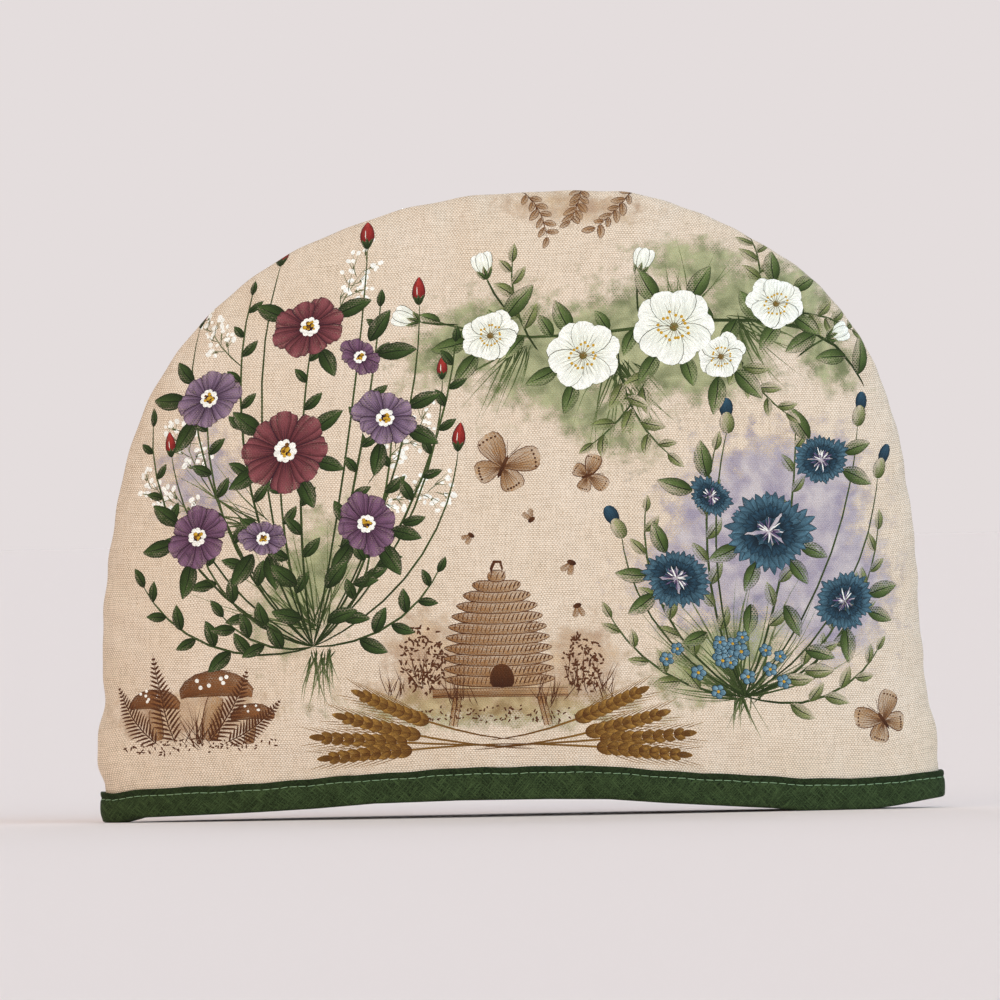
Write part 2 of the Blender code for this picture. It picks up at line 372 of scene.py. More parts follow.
def lining_place(flat, facing):
    """Where points of the flat cloth lie on a panel's inner face."""
    column, row = flat_to_grid(flat[:, 0], flat[:, 1])
    return dome(column, row, facing, inner=True)


def surface_normals(flat, place_of, outward):
    """Unit normals of a bent cloth face, from how its place changes over a short step."""
    step = 0.25
    right = place_of(flat + [step, 0.0]) - place_of(flat - [step, 0.0])
    higher = place_of(flat + [0.0, step]) - place_of(flat - [0.0, step])
    return unit(-outward * np.cross(right, higher))


# ---------------------------------------------------------------------------- meshes and materials


def linear(hex_colour, alpha=1.0):
    """A linear RGBA colour from an sRGB hex value."""
    shares = [int(hex_colour[k : k + 2], 16) / 255.0 for k in (1, 3, 5)]
    return tuple(s / 12.92 if s <= 0.04045 else ((s + 0.055) / 1.055) ** 2.4 for s in shares) + (alpha,)


def add(tree, kind, settings=None, values=None):
    """Adds a node, with its settings and with its inputs set or linked. Returns its first output in use."""
    node = tree.nodes.new("ShaderNode" + kind)
    for name, value in (settings or {}).items():
        setattr(node, name, value)
    for name, value in (values or {}).items():
        if isinstance(value, bpy.types.NodeSocket):
            tree.links.new(value, node.inputs[name])
        else:
            node.inputs[name].default_value = value
    return next((socket for socket in node.outputs if socket.enabled), None)


def new_material(name):
    """An empty node material and its tree."""
    material = bpy.data.materials.new(name)
    material.use_nodes = True
    material.node_tree.nodes.clear()
    return material, material.node_tree


def make_piece(name, places, faces, normals, material, layers):
    """A smooth mesh object. faces are triangles, normals has one for each face corner, and layers
    holds a UV layer or a colour for each face corner under its name."""
    mesh = bpy.data.meshes.new(name)
    mesh.from_pydata((places * MM).tolist(), [], faces.tolist())
    for layer, values in layers.items():
        values = np.asarray(values, np.float32).reshape(faces.size, -1)
        if values.shape[1] == 2:
            mesh.uv_layers.new(name=layer).data.foreach_set("uv", values.ravel())
        else:
            attribute = mesh.attributes.new(layer, "FLOAT_COLOR", "CORNER")
            attribute.data.foreach_set("color", values.ravel())
    mesh.materials.append(material)
    mesh.polygons.foreach_set("use_smooth", np.ones(len(faces), bool))
    mesh.normals_split_custom_set(normals.reshape(-1, 3).tolist())
    piece = bpy.data.objects.new(name, mesh)
    bpy.context.scene.collection.objects.link(piece)
    return piece


def triangle_normals(places, faces):
    """Each triangle's normal, twice as long as its area."""
    a, b, c = (places[faces[:, k]] for k in range(3))
    return np.cross(b - a, c - a)


SAME_POINT = 1e-4  # flat points closer than this are one
NO_AREA = 1e-7  # a triangle smaller than this is dropped


def triangulate(points, edges):
    """Triangles over flat points that keep the given edges. Returns the points and the triangles."""
    found = geometry.delaunay_2d_cdt([Vector(p) for p in points], edges, [], 0, SAME_POINT, False)
    flat = np.array([tuple(p) for p in found[0]])
    triangles = np.array([face for face in found[2] if len(face) == 3])
    a, b, c = (flat[triangles[:, k]] for k in range(3))
    turn = (b[:, 0] - a[:, 0]) * (c[:, 1] - a[:, 1]) - (b[:, 1] - a[:, 1]) * (c[:, 0] - a[:, 0])
    triangles[turn < 0] = triangles[turn < 0][:, ::-1]
    return flat, triangles[abs(turn) > NO_AREA]


# ------------------------------------------------------------------------------------ padded panels

SEAM_ROWS = [0.5, 1.1, 1.8, 2.7, 4.0, 5.8, 8.2]  # points near the seam, where the cloth turns in
DENSE_ROWS = 3.0  # rows nearer the seam than this have a point for each of the outline's
HEM_COUNT = 150  # points along the hem
HEM_KEEP = 0.8  # the lowest points inside the panel are this far over its edge
LATTICE_FOOT = 1.5  # the lattice's lowest row
LATTICE_RISE = 0.87  # from row to row of the lattice, as a share of its step

# Where a panel's parts lie in its flat map: the lower left corner, and how wide they are.
MAP_OUTER = (0.01, 0.01, 0.98)
MAP_INNER = (0.01, 0.73, 0.26)
MAP_SEAM = (0.40, 0.75, 0.58)
MAP_SEAM_HEIGHT = 0.02


def panel_edge():
    """The closed edge of the flat panel: along the seam from left to right, then back along the hem."""
    hem = np.linspace(OUTLINE[-1], OUTLINE[0], HEM_COUNT)[1:-1]
    hem[:, 1] = 0.0
    edge = np.concatenate([OUTLINE, hem])
    edge[0, 1] = edge[len(OUTLINE) - 1, 1] = 0.0
    return edge


def flat_points(step):
    """Points inside the flat panel: rows along the seam, then an even staggered grid."""
    tangent = unit(np.gradient(OUTLINE, axis=0))
    inward = np.stack([tangent[:, 1], -tangent[:, 0]], axis=1)
    rows = []
    for away in SEAM_ROWS:
        every = 1 if away < DENSE_ROWS else 2
        rows.append(OUTLINE[::every] + away * inward[::every])
    lattice = []
    for count, up in enumerate(np.arange(LATTICE_FOOT, FLAT_HEIGHT, step * LATTICE_RISE)):
        across = np.arange(-FLAT_HALF_WIDTH, FLAT_HALF_WIDTH, step) + (0.5 * step if count % 2 else 0.0)
        lattice.append(np.stack([across, np.full(len(across), up)], axis=1))
    lattice = np.concatenate(lattice)
    away, _ = seam_distance(lattice[:, 0], lattice[:, 1])
    rows = np.concatenate(rows)
    return np.concatenate([rows[rows[:, 1] > HEM_KEEP], lattice[away > SEAM_ROWS[-1] + 0.4 * step]])


# What the corner layers hold where the cloth is bare.
BARE_CLOTH = {"ink": (0.0, 0.0, 0.0, 0.0), "brush": (0.0, 0.0), "wash": (0.0, 0.0, 0.0, 1.0)}


def panel_map(flat, inner_flat, faces, seam_faces):
    """A panel laid out in the unit square: its outer cloth large, then its inner cloth, then its seam."""
    corner = np.array([FLAT_HALF_WIDTH, 0.0])
    outer = MAP_OUTER[:2] + (flat + corner) * MAP_OUTER[2] / (2.0 * FLAT_HALF_WIDTH)
    inner = MAP_INNER[:2] + (inner_flat + corner) * MAP_INNER[2] / FLAT_HEIGHT
    places = np.concatenate([outer, inner])[faces]
    is_inner = seam_faces >= len(flat)
    step = (np.arange(len(seam_faces)) // 2)[:, None]
    along = step + (seam_faces - len(flat) * is_inner != step)
    left, low, width = MAP_SEAM
    along = left + width * along / (step[-1, 0] + 1.0)
    places[-len(seam_faces) :] = np.stack([along, low + MAP_SEAM_HEIGHT * is_inner], axis=-1)
    return places


def padded_panel(name, facing, material, print_points=np.zeros((0, 2)), print_edges=(), paint=None):
    """A padded wall: its outer cloth, its inner cloth and the seam face that joins them.

    print_points and print_edges are the printed shapes' outlines on the flat cloth, and paint gives
    the outer cloth's corner layers from its flat points and triangles.
    """
    edge = panel_edge()
    count = len(edge)
    ring = [(k, (k + 1) % count) for k in range(count)]
    outer = np.concatenate([edge, flat_points(CLOTH_STEP), print_points])
    shift = len(outer) - len(print_points)
    edges = ring + [(a + shift, b + shift) for a, b in print_edges]
    flat, triangles = triangulate(outer, edges)
    inner_flat, inner_triangles = triangulate(np.concatenate([edge, flat_points(INNER_STEP)]), ring)
    places = np.concatenate([cloth_place(flat, facing), lining_place(inner_flat, facing)])
    first_inner = len(flat)
    rim = [(a, b, first_inner + b, first_inner + a) for a, b in ring]
    rim = np.array([[(a, b, c), (a, c, d)] for a, b, c, d in rim]).reshape(-1, 3)
    faces = [triangles, inner_triangles[:, ::-1] + first_inner, rim[:, ::-1]]
    normals = np.concatenate(
        [
            surface_normals(flat, lambda f: cloth_place(f, facing), facing),
            surface_normals(inner_flat, lambda f: lining_place(f, facing), -facing),
        ]
    )
    if facing == BACK:
        faces = [part[:, ::-1] for part in faces]
    faces_all = np.concatenate(faces)
    corner_normals = normals[faces_all]
    seam_faces = faces_all[-len(rim) :]
    corner_normals[-len(rim) :] = unit(triangle_normals(places, seam_faces))[:, None, :]
    all_flat = np.concatenate([flat, inner_flat])
    layers = {"cloth": all_flat[faces_all]}
    layers[FLAT_MAP] = panel_map(flat, inner_flat, faces_all, seam_faces)
    printed = paint(flat, faces[0]) if paint else {}
    for layer, bare in BARE_CLOTH.items():
        layers[layer] = np.tile(np.array(bare), (len(faces_all), 3, 1))
        if layer in printed:
            layers[layer][: len(triangles)] = printed[layer]
    return make_piece(name, places, faces_all, corner_normals, material, layers)


# ------------------------------------------------------------------------------------- hem binding

# The strip laid flat, in metres: once round the mouth, and over both legs, under the edge and the
# turned-in edges.
BINDING_STEP = 1.5  # from point to point round the mouth
BINDING_FACE = SEAM_GAP + BINDING_CLOTH  # how far the strip's outside lies off the panel
FOLD = 0.6  # radius of the strip's folded edges
FOLD_TURNS = (30, 60, 90, 120, 150)  # the points round it, in degrees
UNDER_TURNS = (0, 22, 45, 67, 90)  # the points where a leg turns under the panels' edge
LEG_POINTS = (0.6, 1.0, 1.5, 1.9, 2.3, 2.6, 2.9, 3.2, 3.6, 4.1, 4.8, 5.6, 6.4, 7.3, 8.2, 9.0)
LEG_SPAN = 10.3  # the leg's points are given for a leg as high as this, and spread over the real one
TOP_WAVERS = ((0.22, 9.0), (0.13, 3.1))  # how far the upper edge wavers, and how fast it turns
BELLY = 0.25  # how far a leg stands out between its folded edges
SLACK = 0.22  # how far the leg stands out in soft places along it
SLACK_WAVES = (5.3, 0.8, 17.0)  # how fast they turn, how much they sway, and how fast
SLACK_MIDDLE = 0.35  # where on the leg they are, as a share of its height
SLACK_SPREAD = 0.4  # and how far up and down they reach
STITCH_DROP = 2.8  # the stitch line, below the strip's upper edge
STITCH_PITCH = 3.7
STITCH_LENGTH = 3.4
STITCH_SINK = 0.42  # how deep the stitch line pulls the strip in
STITCH_REACH = 0.8  # and how far up and down
STITCH_PUCKER = 0.16  # how far the strip stands out between stitches
PUCKER_SPREAD = 2.6  # and how far up and down
THREAD = 0.165  # radius of the stitching thread
THREAD_STEPS = 9  # points along a stitch
THREAD_SIDES = 6
THREAD_RISE = 1.15  # how high a stitch's middle stands, in thread radii
THREAD_DIVE = 2.6  # how much lower its ends are
THREAD_THIN = 0.25  # how much thinner its ends are
STITCH_LENGTHS = (0.93, 1.05)  # its length, as a share of STITCH_LENGTH
STITCH_SHIFTS = (-0.03, 0.03)  # its shift along the row, as a share of the pitch
STITCH_SLANTS = (-0.10, 0.16)
# The strip's side towards the panels, under their edge: which wall face, how high and how far off it.
BACK_LINES = ((False, 0.0, SEAM_GAP), (False, -SEAM_GAP, 0.0), (True, -SEAM_GAP, 0.0), (True, 0.0, SEAM_GAP))
LAST_WIDTH = 4.0  # how wide the flat map makes the last of its faces
MAP_ROWS = 4  # the strip's flat map is cut into this many lengths
MAP_SPACE = 2.0  # between them
MAP_EDGE = 0.005  # round them
MAP_SPAN = 0.98


def mouth_line():
    """The columns and facings of evenly spaced stations once round the mouth, from its left corner."""
    turn = np.linspace(-1.0, 1.0, 6001)
    column = np.sin(0.5 * np.pi * turn)
    half = dome(column, np.zeros_like(column), FRONT)
    lengths = arc_lengths(half)
    count = int(lengths[-1] / BINDING_STEP)
    front = np.interp(np.linspace(0.0, lengths[-1], count + 1), lengths, column)
    columns = np.concatenate([front, front[-2:0:-1]])
    facings = np.concatenate([[0], np.full(count - 1, FRONT), [0], np.full(count - 1, BACK)])
    return columns, facings


MOUTH_COLUMNS, MOUTH_FACINGS = mouth_line()


def wall_line(height, inner):
    """A line round the panels' face at a height over their lower edge, which may vary round it."""
    row = np.maximum(height, 0.0) / (HEIGHT * side_shrink(MOUTH_COLUMNS))
    line = np.empty((len(MOUTH_COLUMNS), 3))
    for facing in (FRONT, BACK, 0):
        chosen = MOUTH_FACINGS == facing
        line[chosen] = dome(MOUTH_COLUMNS[chosen], row[chosen], facing, inner)
    return line


def binding_line(inner, height, off):
    """A line round the strip: on which wall face, how high over the panel's edge, how far off it."""
    height = np.broadcast_to(height, MOUTH_COLUMNS.shape)
    line = wall_line(height, inner)
    run = np.roll(line, -1, axis=0) - np.roll(line, 1, axis=0)
    outward = np.stack([run[:, 1], -run[:, 0]], axis=1)
    outward /= np.linalg.norm(outward, axis=1)[:, None]
    sideways = (abs(line[:, 0]) / HALF_WIDTH - CORNER_FROM) / (1.0 - CORNER_FROM)
    corner = bump(line[:, 1] / CORNER_REACH) * smooth(sideways)
    if not inner:
        bulk = (CORNER_BULK + CORNER_FLARE * smooth(height / SQUEEZE_TOP)) * corner
        off = off + bulk * smooth((off - SEAM_GAP) / 0.4)
    line[:, :2] += outward * ((-off if inner else off) + np.zeros(len(line)))[:, None]
    line[:, 2] += np.minimum(height, 0.0)
    return line


def mouth_lengths():
    """How far each station is along the panels' edge, and how long that edge is once round."""
    edge = wall_line(np.zeros(len(MOUTH_COLUMNS)), False)
    return arc_lengths(np.concatenate([edge, edge[:1]]))


def leg_top():
    """How high the strip reaches over the panel's edge at each station, with a slight waver."""
    across = FOOT_SHIFT + MOUTH_COLUMNS * HALF_WIDTH
    (slow, turn), (fast, fast_turn) = TOP_WAVERS
    waver = slow * np.sin(across / turn + 2.0 * MOUTH_FACINGS) + fast * np.sin(across / fast_turn)
    return hem_value(across, "leg") - BINDING_FACE + waver


def strip_off(below_top, along, top):
    """How far the strip's outside lies off the panel: belly, stitch line and the puckers beside it."""
    share = np.clip((top - below_top) / top, 0.0, 1.0)
    from_line = below_top - STITCH_DROP
    pull = bump(from_line / STITCH_REACH)
    pucker = STITCH_PUCKER * np.sin(2 * np.pi * along / STITCH_PITCH) * bump(from_line / PUCKER_SPREAD)
    turn, sway, over = SLACK_WAVES
    soft_places = np.sin(along / turn + sway * np.sin(along / over))
    slack = SLACK * soft_places * bump((share - SLACK_MIDDLE) / SLACK_SPREAD)
    return BINDING_FACE + BELLY * 4 * share * (1 - share) - STITCH_SINK * pull + pucker + slack


def binding_rings():
    """The closed lines round the mouth that make the strip, and each one's place across the strip."""
    top = leg_top()
    along = mouth_lengths()[:-1]
    legs = []
    for inner in (False, True):
        leg = [(0.5 * top, SEAM_GAP), (top - FOLD, SEAM_GAP)]
        for turn in np.radians(FOLD_TURNS):
            leg.append((top - FOLD + FOLD * np.sin(turn), SEAM_GAP + FOLD * (1 - np.cos(turn))))
        for point in LEG_POINTS:
            below = point * top / LEG_SPAN
            leg.append((top - below, strip_off(below, along, top)))
        for turn in np.radians(UNDER_TURNS):
            leg.append((-BINDING_FACE * np.sin(turn), BINDING_FACE * np.cos(turn)))
        legs.append([binding_line(inner, height, off) for height, off in leg])
    back = [binding_line(*place) for place in BACK_LINES]
    return np.array(legs[0] + legs[1][::-1] + back[::-1]), along


def strip_map(cloth):
    """The binding laid out in the unit square: cut into MAP_ROWS lengths, one over the other."""
    length = cloth[:, :, 0].max() / MAP_ROWS
    low, high = cloth[:, :, 1].min(), cloth[:, :, 1].max() + MAP_SPACE
    row = np.floor(cloth[:, :, 0].min(axis=1) / length)[:, None]
    along = cloth[:, :, 0] - length * row
    across = cloth[:, :, 1] - low + (high - low) * row
    return MAP_EDGE + MAP_SPAN * np.stack([along, across], axis=-1) / (MAP_ROWS * (high - low))


def hem_binding(material):
    """The folded strip round the mouth: a closed tube of lines.

    Its flat coordinates run along the mouth, and across the strip from the fold under the edge.
    """
    rings, along = binding_rings()
    row_count, count = rings.shape[:2]
    widths = np.median(np.linalg.norm(np.diff(rings, axis=0), axis=2), axis=1)
    across = np.concatenate([[0.0], np.cumsum(widths)])
    row, station = np.meshgrid(np.arange(row_count), np.arange(count), indexing="ij")
    after_row, after = (row + 1) % row_count, (station + 1) % count
    corners = [(row, station), (row, after), (after_row, after), (after_row, station)]
    quads = np.stack([r * count + s for r, s in corners], axis=-1).reshape(-1, 4)
    leg_rows = (row_count - len(BACK_LINES)) // 2
    across -= 0.5 * (across[leg_rows - 1] + across[leg_rows])
    cloth_across = np.where(after_row == 0, across[-1] + LAST_WIDTH, across[after_row])
    along_after = np.where(after == 0, along[-1] + BINDING_STEP, along[after])
    uv = [(along[station], across[row]), (along_after, across[row])]
    uv += [(along_after, cloth_across), (along[station], cloth_across)]
    uv = np.stack([np.stack(pair, axis=-1) for pair in uv], axis=-2).reshape(-1, 4, 2)
    split = [[0, 2, 1], [0, 3, 2]]
    faces = quads[:, split].reshape(-1, 3)
    cloth = uv[:, split].reshape(-1, 3, 2)
    places = rings.reshape(-1, 3)
    face_normals = triangle_normals(places, faces)
    if np.einsum("ij,ij->", places[faces[:, 0]], face_normals) < 0:
        faces, cloth, face_normals = faces[:, ::-1], cloth[:, ::-1], -face_normals
    normals = np.zeros_like(places)
    for k in range(3):
        np.add.at(normals, faces[:, k], face_normals)
    layers = {"cloth": cloth, FLAT_MAP: strip_map(cloth)}
    return make_piece("hem_binding_cloth", places, faces, unit(normals)[faces], material, layers)


def stitch_row(name, inner, material):
    """The stitches on one side of the strip: short thread arcs that dive into the cloth at both ends."""
    dice = np.random.default_rng(11 + inner)
    top = leg_top()
    along = mouth_lengths()
    level, seat = top - STITCH_DROP, strip_off(STITCH_DROP, along[:-1], top)
    lines = [binding_line(inner, level + lift, seat + out) for lift, out in ((0, 0), (1, 0), (0, 1))]
    on, higher, outer = (np.concatenate([line, line[:1]]) for line in lines)
    count = int(round(along[-1] / STITCH_PITCH))
    pitch = along[-1] / count
    stations = np.linspace(-1.0, 1.0, THREAD_STEPS)
    sides = np.linspace(0.0, 2 * np.pi, THREAD_SIDES + 1)[:-1]
    places, faces, normals = [], [], []
    for k in range(count):
        length = STITCH_LENGTH * dice.uniform(*STITCH_LENGTHS)
        where = (k + 0.5 + dice.uniform(*STITCH_SHIFTS)) * pitch + 0.5 * length * stations
        where = np.clip(where, 0.0, along[-1])
        base, up, out = (
            np.stack([np.interp(where, along, line[:, j]) for j in range(3)], axis=1)
            for line in (on, higher, outer)
        )
        up, out = up - base, out - base
        slant = dice.uniform(*STITCH_SLANTS)
        height = THREAD * (THREAD_RISE - THREAD_DIVE * abs(stations) ** 5)
        centre = base + up * (slant * stations)[:, None] + out * height[:, None]
        width = THREAD * (1.0 - THREAD_THIN * stations**2)
        ring = up[:, None, :] * (np.sin(sides)[None, :] * width[:, None])[:, :, None]
        ring = ring + out[:, None, :] * (np.cos(sides)[None, :] * width[:, None])[:, :, None]
        places.append((centre[:, None, :] + ring).reshape(-1, 3))
        normals.append(ring.reshape(-1, 3))
        faces += thread_faces(k * THREAD_STEPS * THREAD_SIDES)
    places, normals, faces = np.concatenate(places), unit(np.concatenate(normals)), np.array(faces)
    if np.einsum("ij,ij->", triangle_normals(places, faces), normals[faces[:, 0]]) < 0:
        faces = faces[:, ::-1]
    return make_piece(name, places, faces, normals[faces], material, {})


def thread_faces(first):
    """The triangles of one stitch: its sides, and a fan over each end."""
    faces = []
    for start in range(first, first + (THREAD_STEPS - 1) * THREAD_SIDES, THREAD_SIDES):
        for side in range(THREAD_SIDES):
            a, b = start + side, start + (side + 1) % THREAD_SIDES
            faces += [(a, b, b + THREAD_SIDES), (a, b + THREAD_SIDES, a + THREAD_SIDES)]
    last = first + (THREAD_STEPS - 1) * THREAD_SIDES
    for side in range(1, THREAD_SIDES - 1):
        faces += [(first, first + side + 1, first + side), (last, last + side, last + side + 1)]
    return faces


# ---------------------------------------------------------------------------------- printing inks

# Each ink: its colour at the start and at the tip of a stroke, how much of the cloth it covers at
# both, the colour that its sides darken to and by how much, and how much of the cover one side lacks.
# A cover over 1 also fills the holes between the threads.
INKS = {
    "cosmos mauve": ("#3E2A42", "#967C98", 1.15, 0.80, "#2C1A30", 0.75, 0.10),
    "cosmos wine": ("#43121A", "#8E4E54", 1.20, 0.90, "#300B12", 0.75, 0.10),
    "cosmos plum": ("#4C2840", "#84607E", 1.15, 0.85, "#2E1629", 0.75, 0.10),
    "plum line": ("#22101E", "#321A2C", 1.15, 1.00, "#22101E", 0.0, 0.0),
    "cornflower": ("#122634", "#5C8497", 1.20, 0.95, "#10222E", 0.65, 0.10),
    "cornflower deep": ("#0D1A26", "#325569", 1.20, 1.05, "#0C1822", 0.60, 0.0),
    "blue line": ("#0A1218", "#14202A", 1.15, 1.00, "#0A1218", 0.0, 0.0),
    "heart violet": ("#35203E", "#86709A", 1.20, 1.10, "#261530", 0.40, 0.0),
    "small blue": ("#3A6076", "#8CB0C0", 1.10, 1.00, "#244758", 0.60, 0.0),
    "rose white": ("#D9DDC6", "#FAF9F2", 1.15, 1.35, "#E4E6DC", 0.55, 0.0),
    "dab white": ("#F3F2EA", "#FBFAF5", 1.25, 1.20, "#E9E8DE", 0.20, 0.0),
    "rose line": ("#4A4630", "#3C3B2A", 1.00, 0.90, "#33301F", 0.0, 0.0),
    "stamen gold": ("#B98A24", "#E2B73C", 1.20, 1.25, "#8A5F18", 0.50, 0.0),
    "stamen brown": ("#7A5016", "#5A3410", 1.10, 1.10, "#5A3410", 0.0, 0.0),
    "hip red": ("#6E1418", "#B83C34", 1.25, 1.05, "#560D10", 0.75, 0.15),
    "leaf dark": ("#1D2A0E", "#42592A", 1.25, 0.95, "#141E0A", 0.65, 0.28),
    "leaf fresh": ("#2C3E16", "#6B8045", 1.15, 0.72, "#1F2D10", 0.70, 0.42),
    "leaf sage": ("#434F22", "#8F9A58", 1.00, 0.62, "#333D1A", 0.75, 0.45),
    "leaf line": ("#10170A", "#1A2410", 1.15, 0.90, "#10170A", 0.0, 0.0),
    "stem green": ("#263413", "#4C5F2E", 1.15, 0.95, "#141D0A", 0.50, 0.20),
    "grass": ("#263413", "#667742", 1.05, 0.45, "#263413", 0.0, 0.0),
    "sepia line": ("#452311", "#5F3820", 1.10, 0.95, "#452311", 0.0, 0.0),
    "sepia fine": ("#5C3820", "#7A5636", 1.00, 0.78, "#5C3820", 0.0, 0.0),
    "sepia tone": ("#85592F", "#B08A60", 0.80, 0.62, "#6A4426", 0.55, 0.22),
    "sepia cap": ("#693E20", "#8E5F38", 0.98, 0.90, "#4E2A14", 0.60, 0.15),
    "sepia dark": ("#3A1B0B", "#583218", 1.10, 0.95, "#3A1B0B", 0.0, 0.0),
    "wheat": ("#5C3712", "#B78B42", 1.20, 1.05, "#4E2B0E", 0.75, 0.15),
    "wheat line": ("#4E2B10", "#98702E", 1.10, 0.80, "#4E2B10", 0.0, 0.0),
}

TOUCH = 0.5 - 0.5 * np.cos(np.linspace(0.0, np.pi, 10))  # places along a stroke, closer at its ends
RIB = np.linspace(0.0, 1.0, 4)  # places along a petal's rib
CONTOUR = 0.22  # how far a shape's dark outline shows round it
SEAM_KEEP = 1.2  # ink stops this far from the seam's thread
PRINT_FOOT = 1.0  # and this far over the panel's lower edge
HALVINGS = 24  # steps in which a point off the panel is brought back
SHADED_HALF = 2.0  # a stroke over twice this wide gets points inside it, to carry its shading
SHADED_AT = 0.6  # this share of the half width out from its middle
LEAST_HALF = 0.02  # no stroke is narrower than twice this
EDGE_FADE = 2.5  # how fast a stroke darkens towards its sides
PALE_STEP = 1.2  # how soon its pale side begins
STREAK_SHIFT = 7.0  # sets a stroke's streaks apart from the next one's
STREAK_ROUND = 97  # strokes before the streaks come round again
WASH_SHAPE = (1.3, 0.55)  # how firm a wash's edge is, and how fast it thins
LARGE_LEAF = 12.5  # a leaf longer than this has a dark outline

dice = np.random.default_rng(7)
strokes = []


def towards(turn):
    """The unit step in a direction in degrees, from the right and turning up."""
    return np.array([math.cos(math.radians(turn)), math.sin(math.radians(turn))])


def bezier(controls, places=TOUCH):
    """Places along the smooth curve that the control points steer."""
    controls = np.asarray(controls, float)
    order = len(controls) - 1
    shares = [math.comb(order, k) * places**k * (1 - places) ** (order - k) for k in range(order + 1)]
    return np.einsum("kn,kd->nd", np.array(shares), controls)


def lay(ink, spine, halves):
    """One touch of ink along a line of points, with half its width at each."""
    strokes.append((ink, spine, halves))


def touches(controls, fewest, most, spacing):
    """Places along a curve, closer at its ends, and more of them on a long one."""
    far = np.linalg.norm(np.diff(np.asarray(controls, float), axis=0), axis=1).sum()
    count = int(min(fewest + far / spacing, most))
    return 0.5 - 0.5 * np.cos(np.linspace(0.0, np.pi, count))


def line(ink, controls, width, start=0.25, end=0.5):
    """A thin stroke that tapers at both ends."""
    places = touches(controls, 4, 14, 10.0)
    shape = places**start * (1.0 - places) ** end
    lay(ink, bezier(controls, places), 0.5 * width * shape / shape.max())


def reach(foot, turn, length, bend=0.0):
    """The control points of a stroke that leaves foot in a direction and bends to one side."""
    ahead, aside = towards(turn), towards(turn + 90.0)
    middle = foot + 0.5 * length * ahead + bend * length * aside
    return [np.asarray(foot, float), middle, foot + length * ahead]


def blade(controls, width, start=0.6, end=0.6):
    """A broad shape's spine and half-widths. A low start or end makes that end blunt."""
    places = touches(controls, 6, 10, 4.0)
    shape = places**start * (1.0 - places) ** end
    return bezier(controls, places), 0.5 * width * shape / shape.max()


def fill(ink, contour, blades, edge=CONTOUR):
    """Broad shapes that share one dark outline."""
    for spine, halves in blades:
        lay(contour, spine, halves + edge * dice.uniform(0.7, 1.5))
    for spine, halves in blades:
        lay(ink, spine, halves)


def leaf(ink, foot, turn, length, width, bend=0.06):
    """A pointed leaf with a dark midrib, and a dark outline where it is large."""
    controls = reach(foot, turn, length, bend)
    shape = blade(controls, width, 0.75, 0.95)
    if length > LARGE_LEAF:
        fill(ink, "leaf line", [shape], 0.12)
    else:
        lay(ink, *shape)
    midrib = [controls[0], controls[1], foot + 0.86 * (controls[2] - foot)]
    line("leaf line", midrib, 0.42)


def leafy_stem(ink, controls, width, count, length, first=0.25, lean=48.0, facing=0):
    """A stem with leaves left and right of it, smaller towards its tip."""
    line("stem green", controls, width, end=0.35)
    spine = bezier(controls, np.linspace(0.0, 1.0, 60))
    for k in range(count):
        place = first + (0.98 - first) * k / max(count - 1, 1)
        at = int(place * 58)
        step = spine[at + 1] - spine[at]
        turn = math.degrees(math.atan2(step[1], step[0]))
        side = facing or (1 if k % 2 else -1)
        size = length * (1.08 - 0.42 * place) * dice.uniform(0.88, 1.12)
        lean_now = 0.0 if k == count - 1 and not facing else side * lean * dice.uniform(0.8, 1.15)
        leaf(ink, spine[at], turn + lean_now, size, 0.47 * size, dice.uniform(-0.10, 0.10))


def cosmos(centre, size, turn, ink, flatten=1.0, lean=0.0):
    """An open cosmos: eight broad petals with lobed tips and fine ribs round a gold eye."""
    axis = towards(lean)

    def press(points):
        offset = points - centre
        across = offset @ axis
        return centre + offset + np.outer((flatten - 1.0) * across, axis)

    for k in (0, 3, 6, 1, 4, 7, 2, 5):
        angle = turn + 45.0 * k + dice.uniform(-5, 5)
        length = 0.5 * size * dice.uniform(0.92, 1.06)
        lobes = []
        for off, share in ((-10.0, 0.93), (10.0, 0.95), (0.0, 1.0)):
            spine, halves = blade(reach(centre, angle + off, length * share, 0.03), 0.36 * length, 1.3, 0.26)
            lobes.append((press(spine), halves))
        fill(ink, "plum line", lobes)
        for off in (-7.0, 0.0, 8.0):
            rib = reach(centre, angle + off, length * dice.uniform(0.45, 0.8), 0.02)
            lay("plum line", press(bezier(rib, RIB)), 0.17 * (1.1 - RIB))
    crown(centre, 0.10 * size, 9)


def pressed(angle, flatten, lean):
    """How long a petal looks in a direction, on a flower that is seen from the side."""
    return 1.0 - (1.0 - flatten) * abs(float(towards(angle) @ towards(lean)))


def crown(centre, radius, count):
    """A flower's eye: a pale ring, then small gold dabs."""
    for k in range(count):
        spot = centre + radius * 0.95 * towards(360.0 * k / count + dice.uniform(-8, 8))
        dab("dab white", spot, radius * 0.42)
    for k in range(count + 3):
        spot = centre + radius * dice.uniform(0.1, 0.75) * towards(dice.uniform(0, 360))
        dab("stamen gold" if k % 3 else "stamen brown", spot, radius * dice.uniform(0.16, 0.30))


def dab(ink, centre, radius, stretch=1.0, turn=0.0):
    """A small round or oval touch."""
    ahead = radius * stretch * towards(turn)
    places = 0.5 - 0.5 * np.cos(np.linspace(0.0, np.pi, 5))
    lay(ink, bezier([centre - ahead, centre + ahead], places), radius * np.sqrt(1 - (2 * places - 1) ** 2))


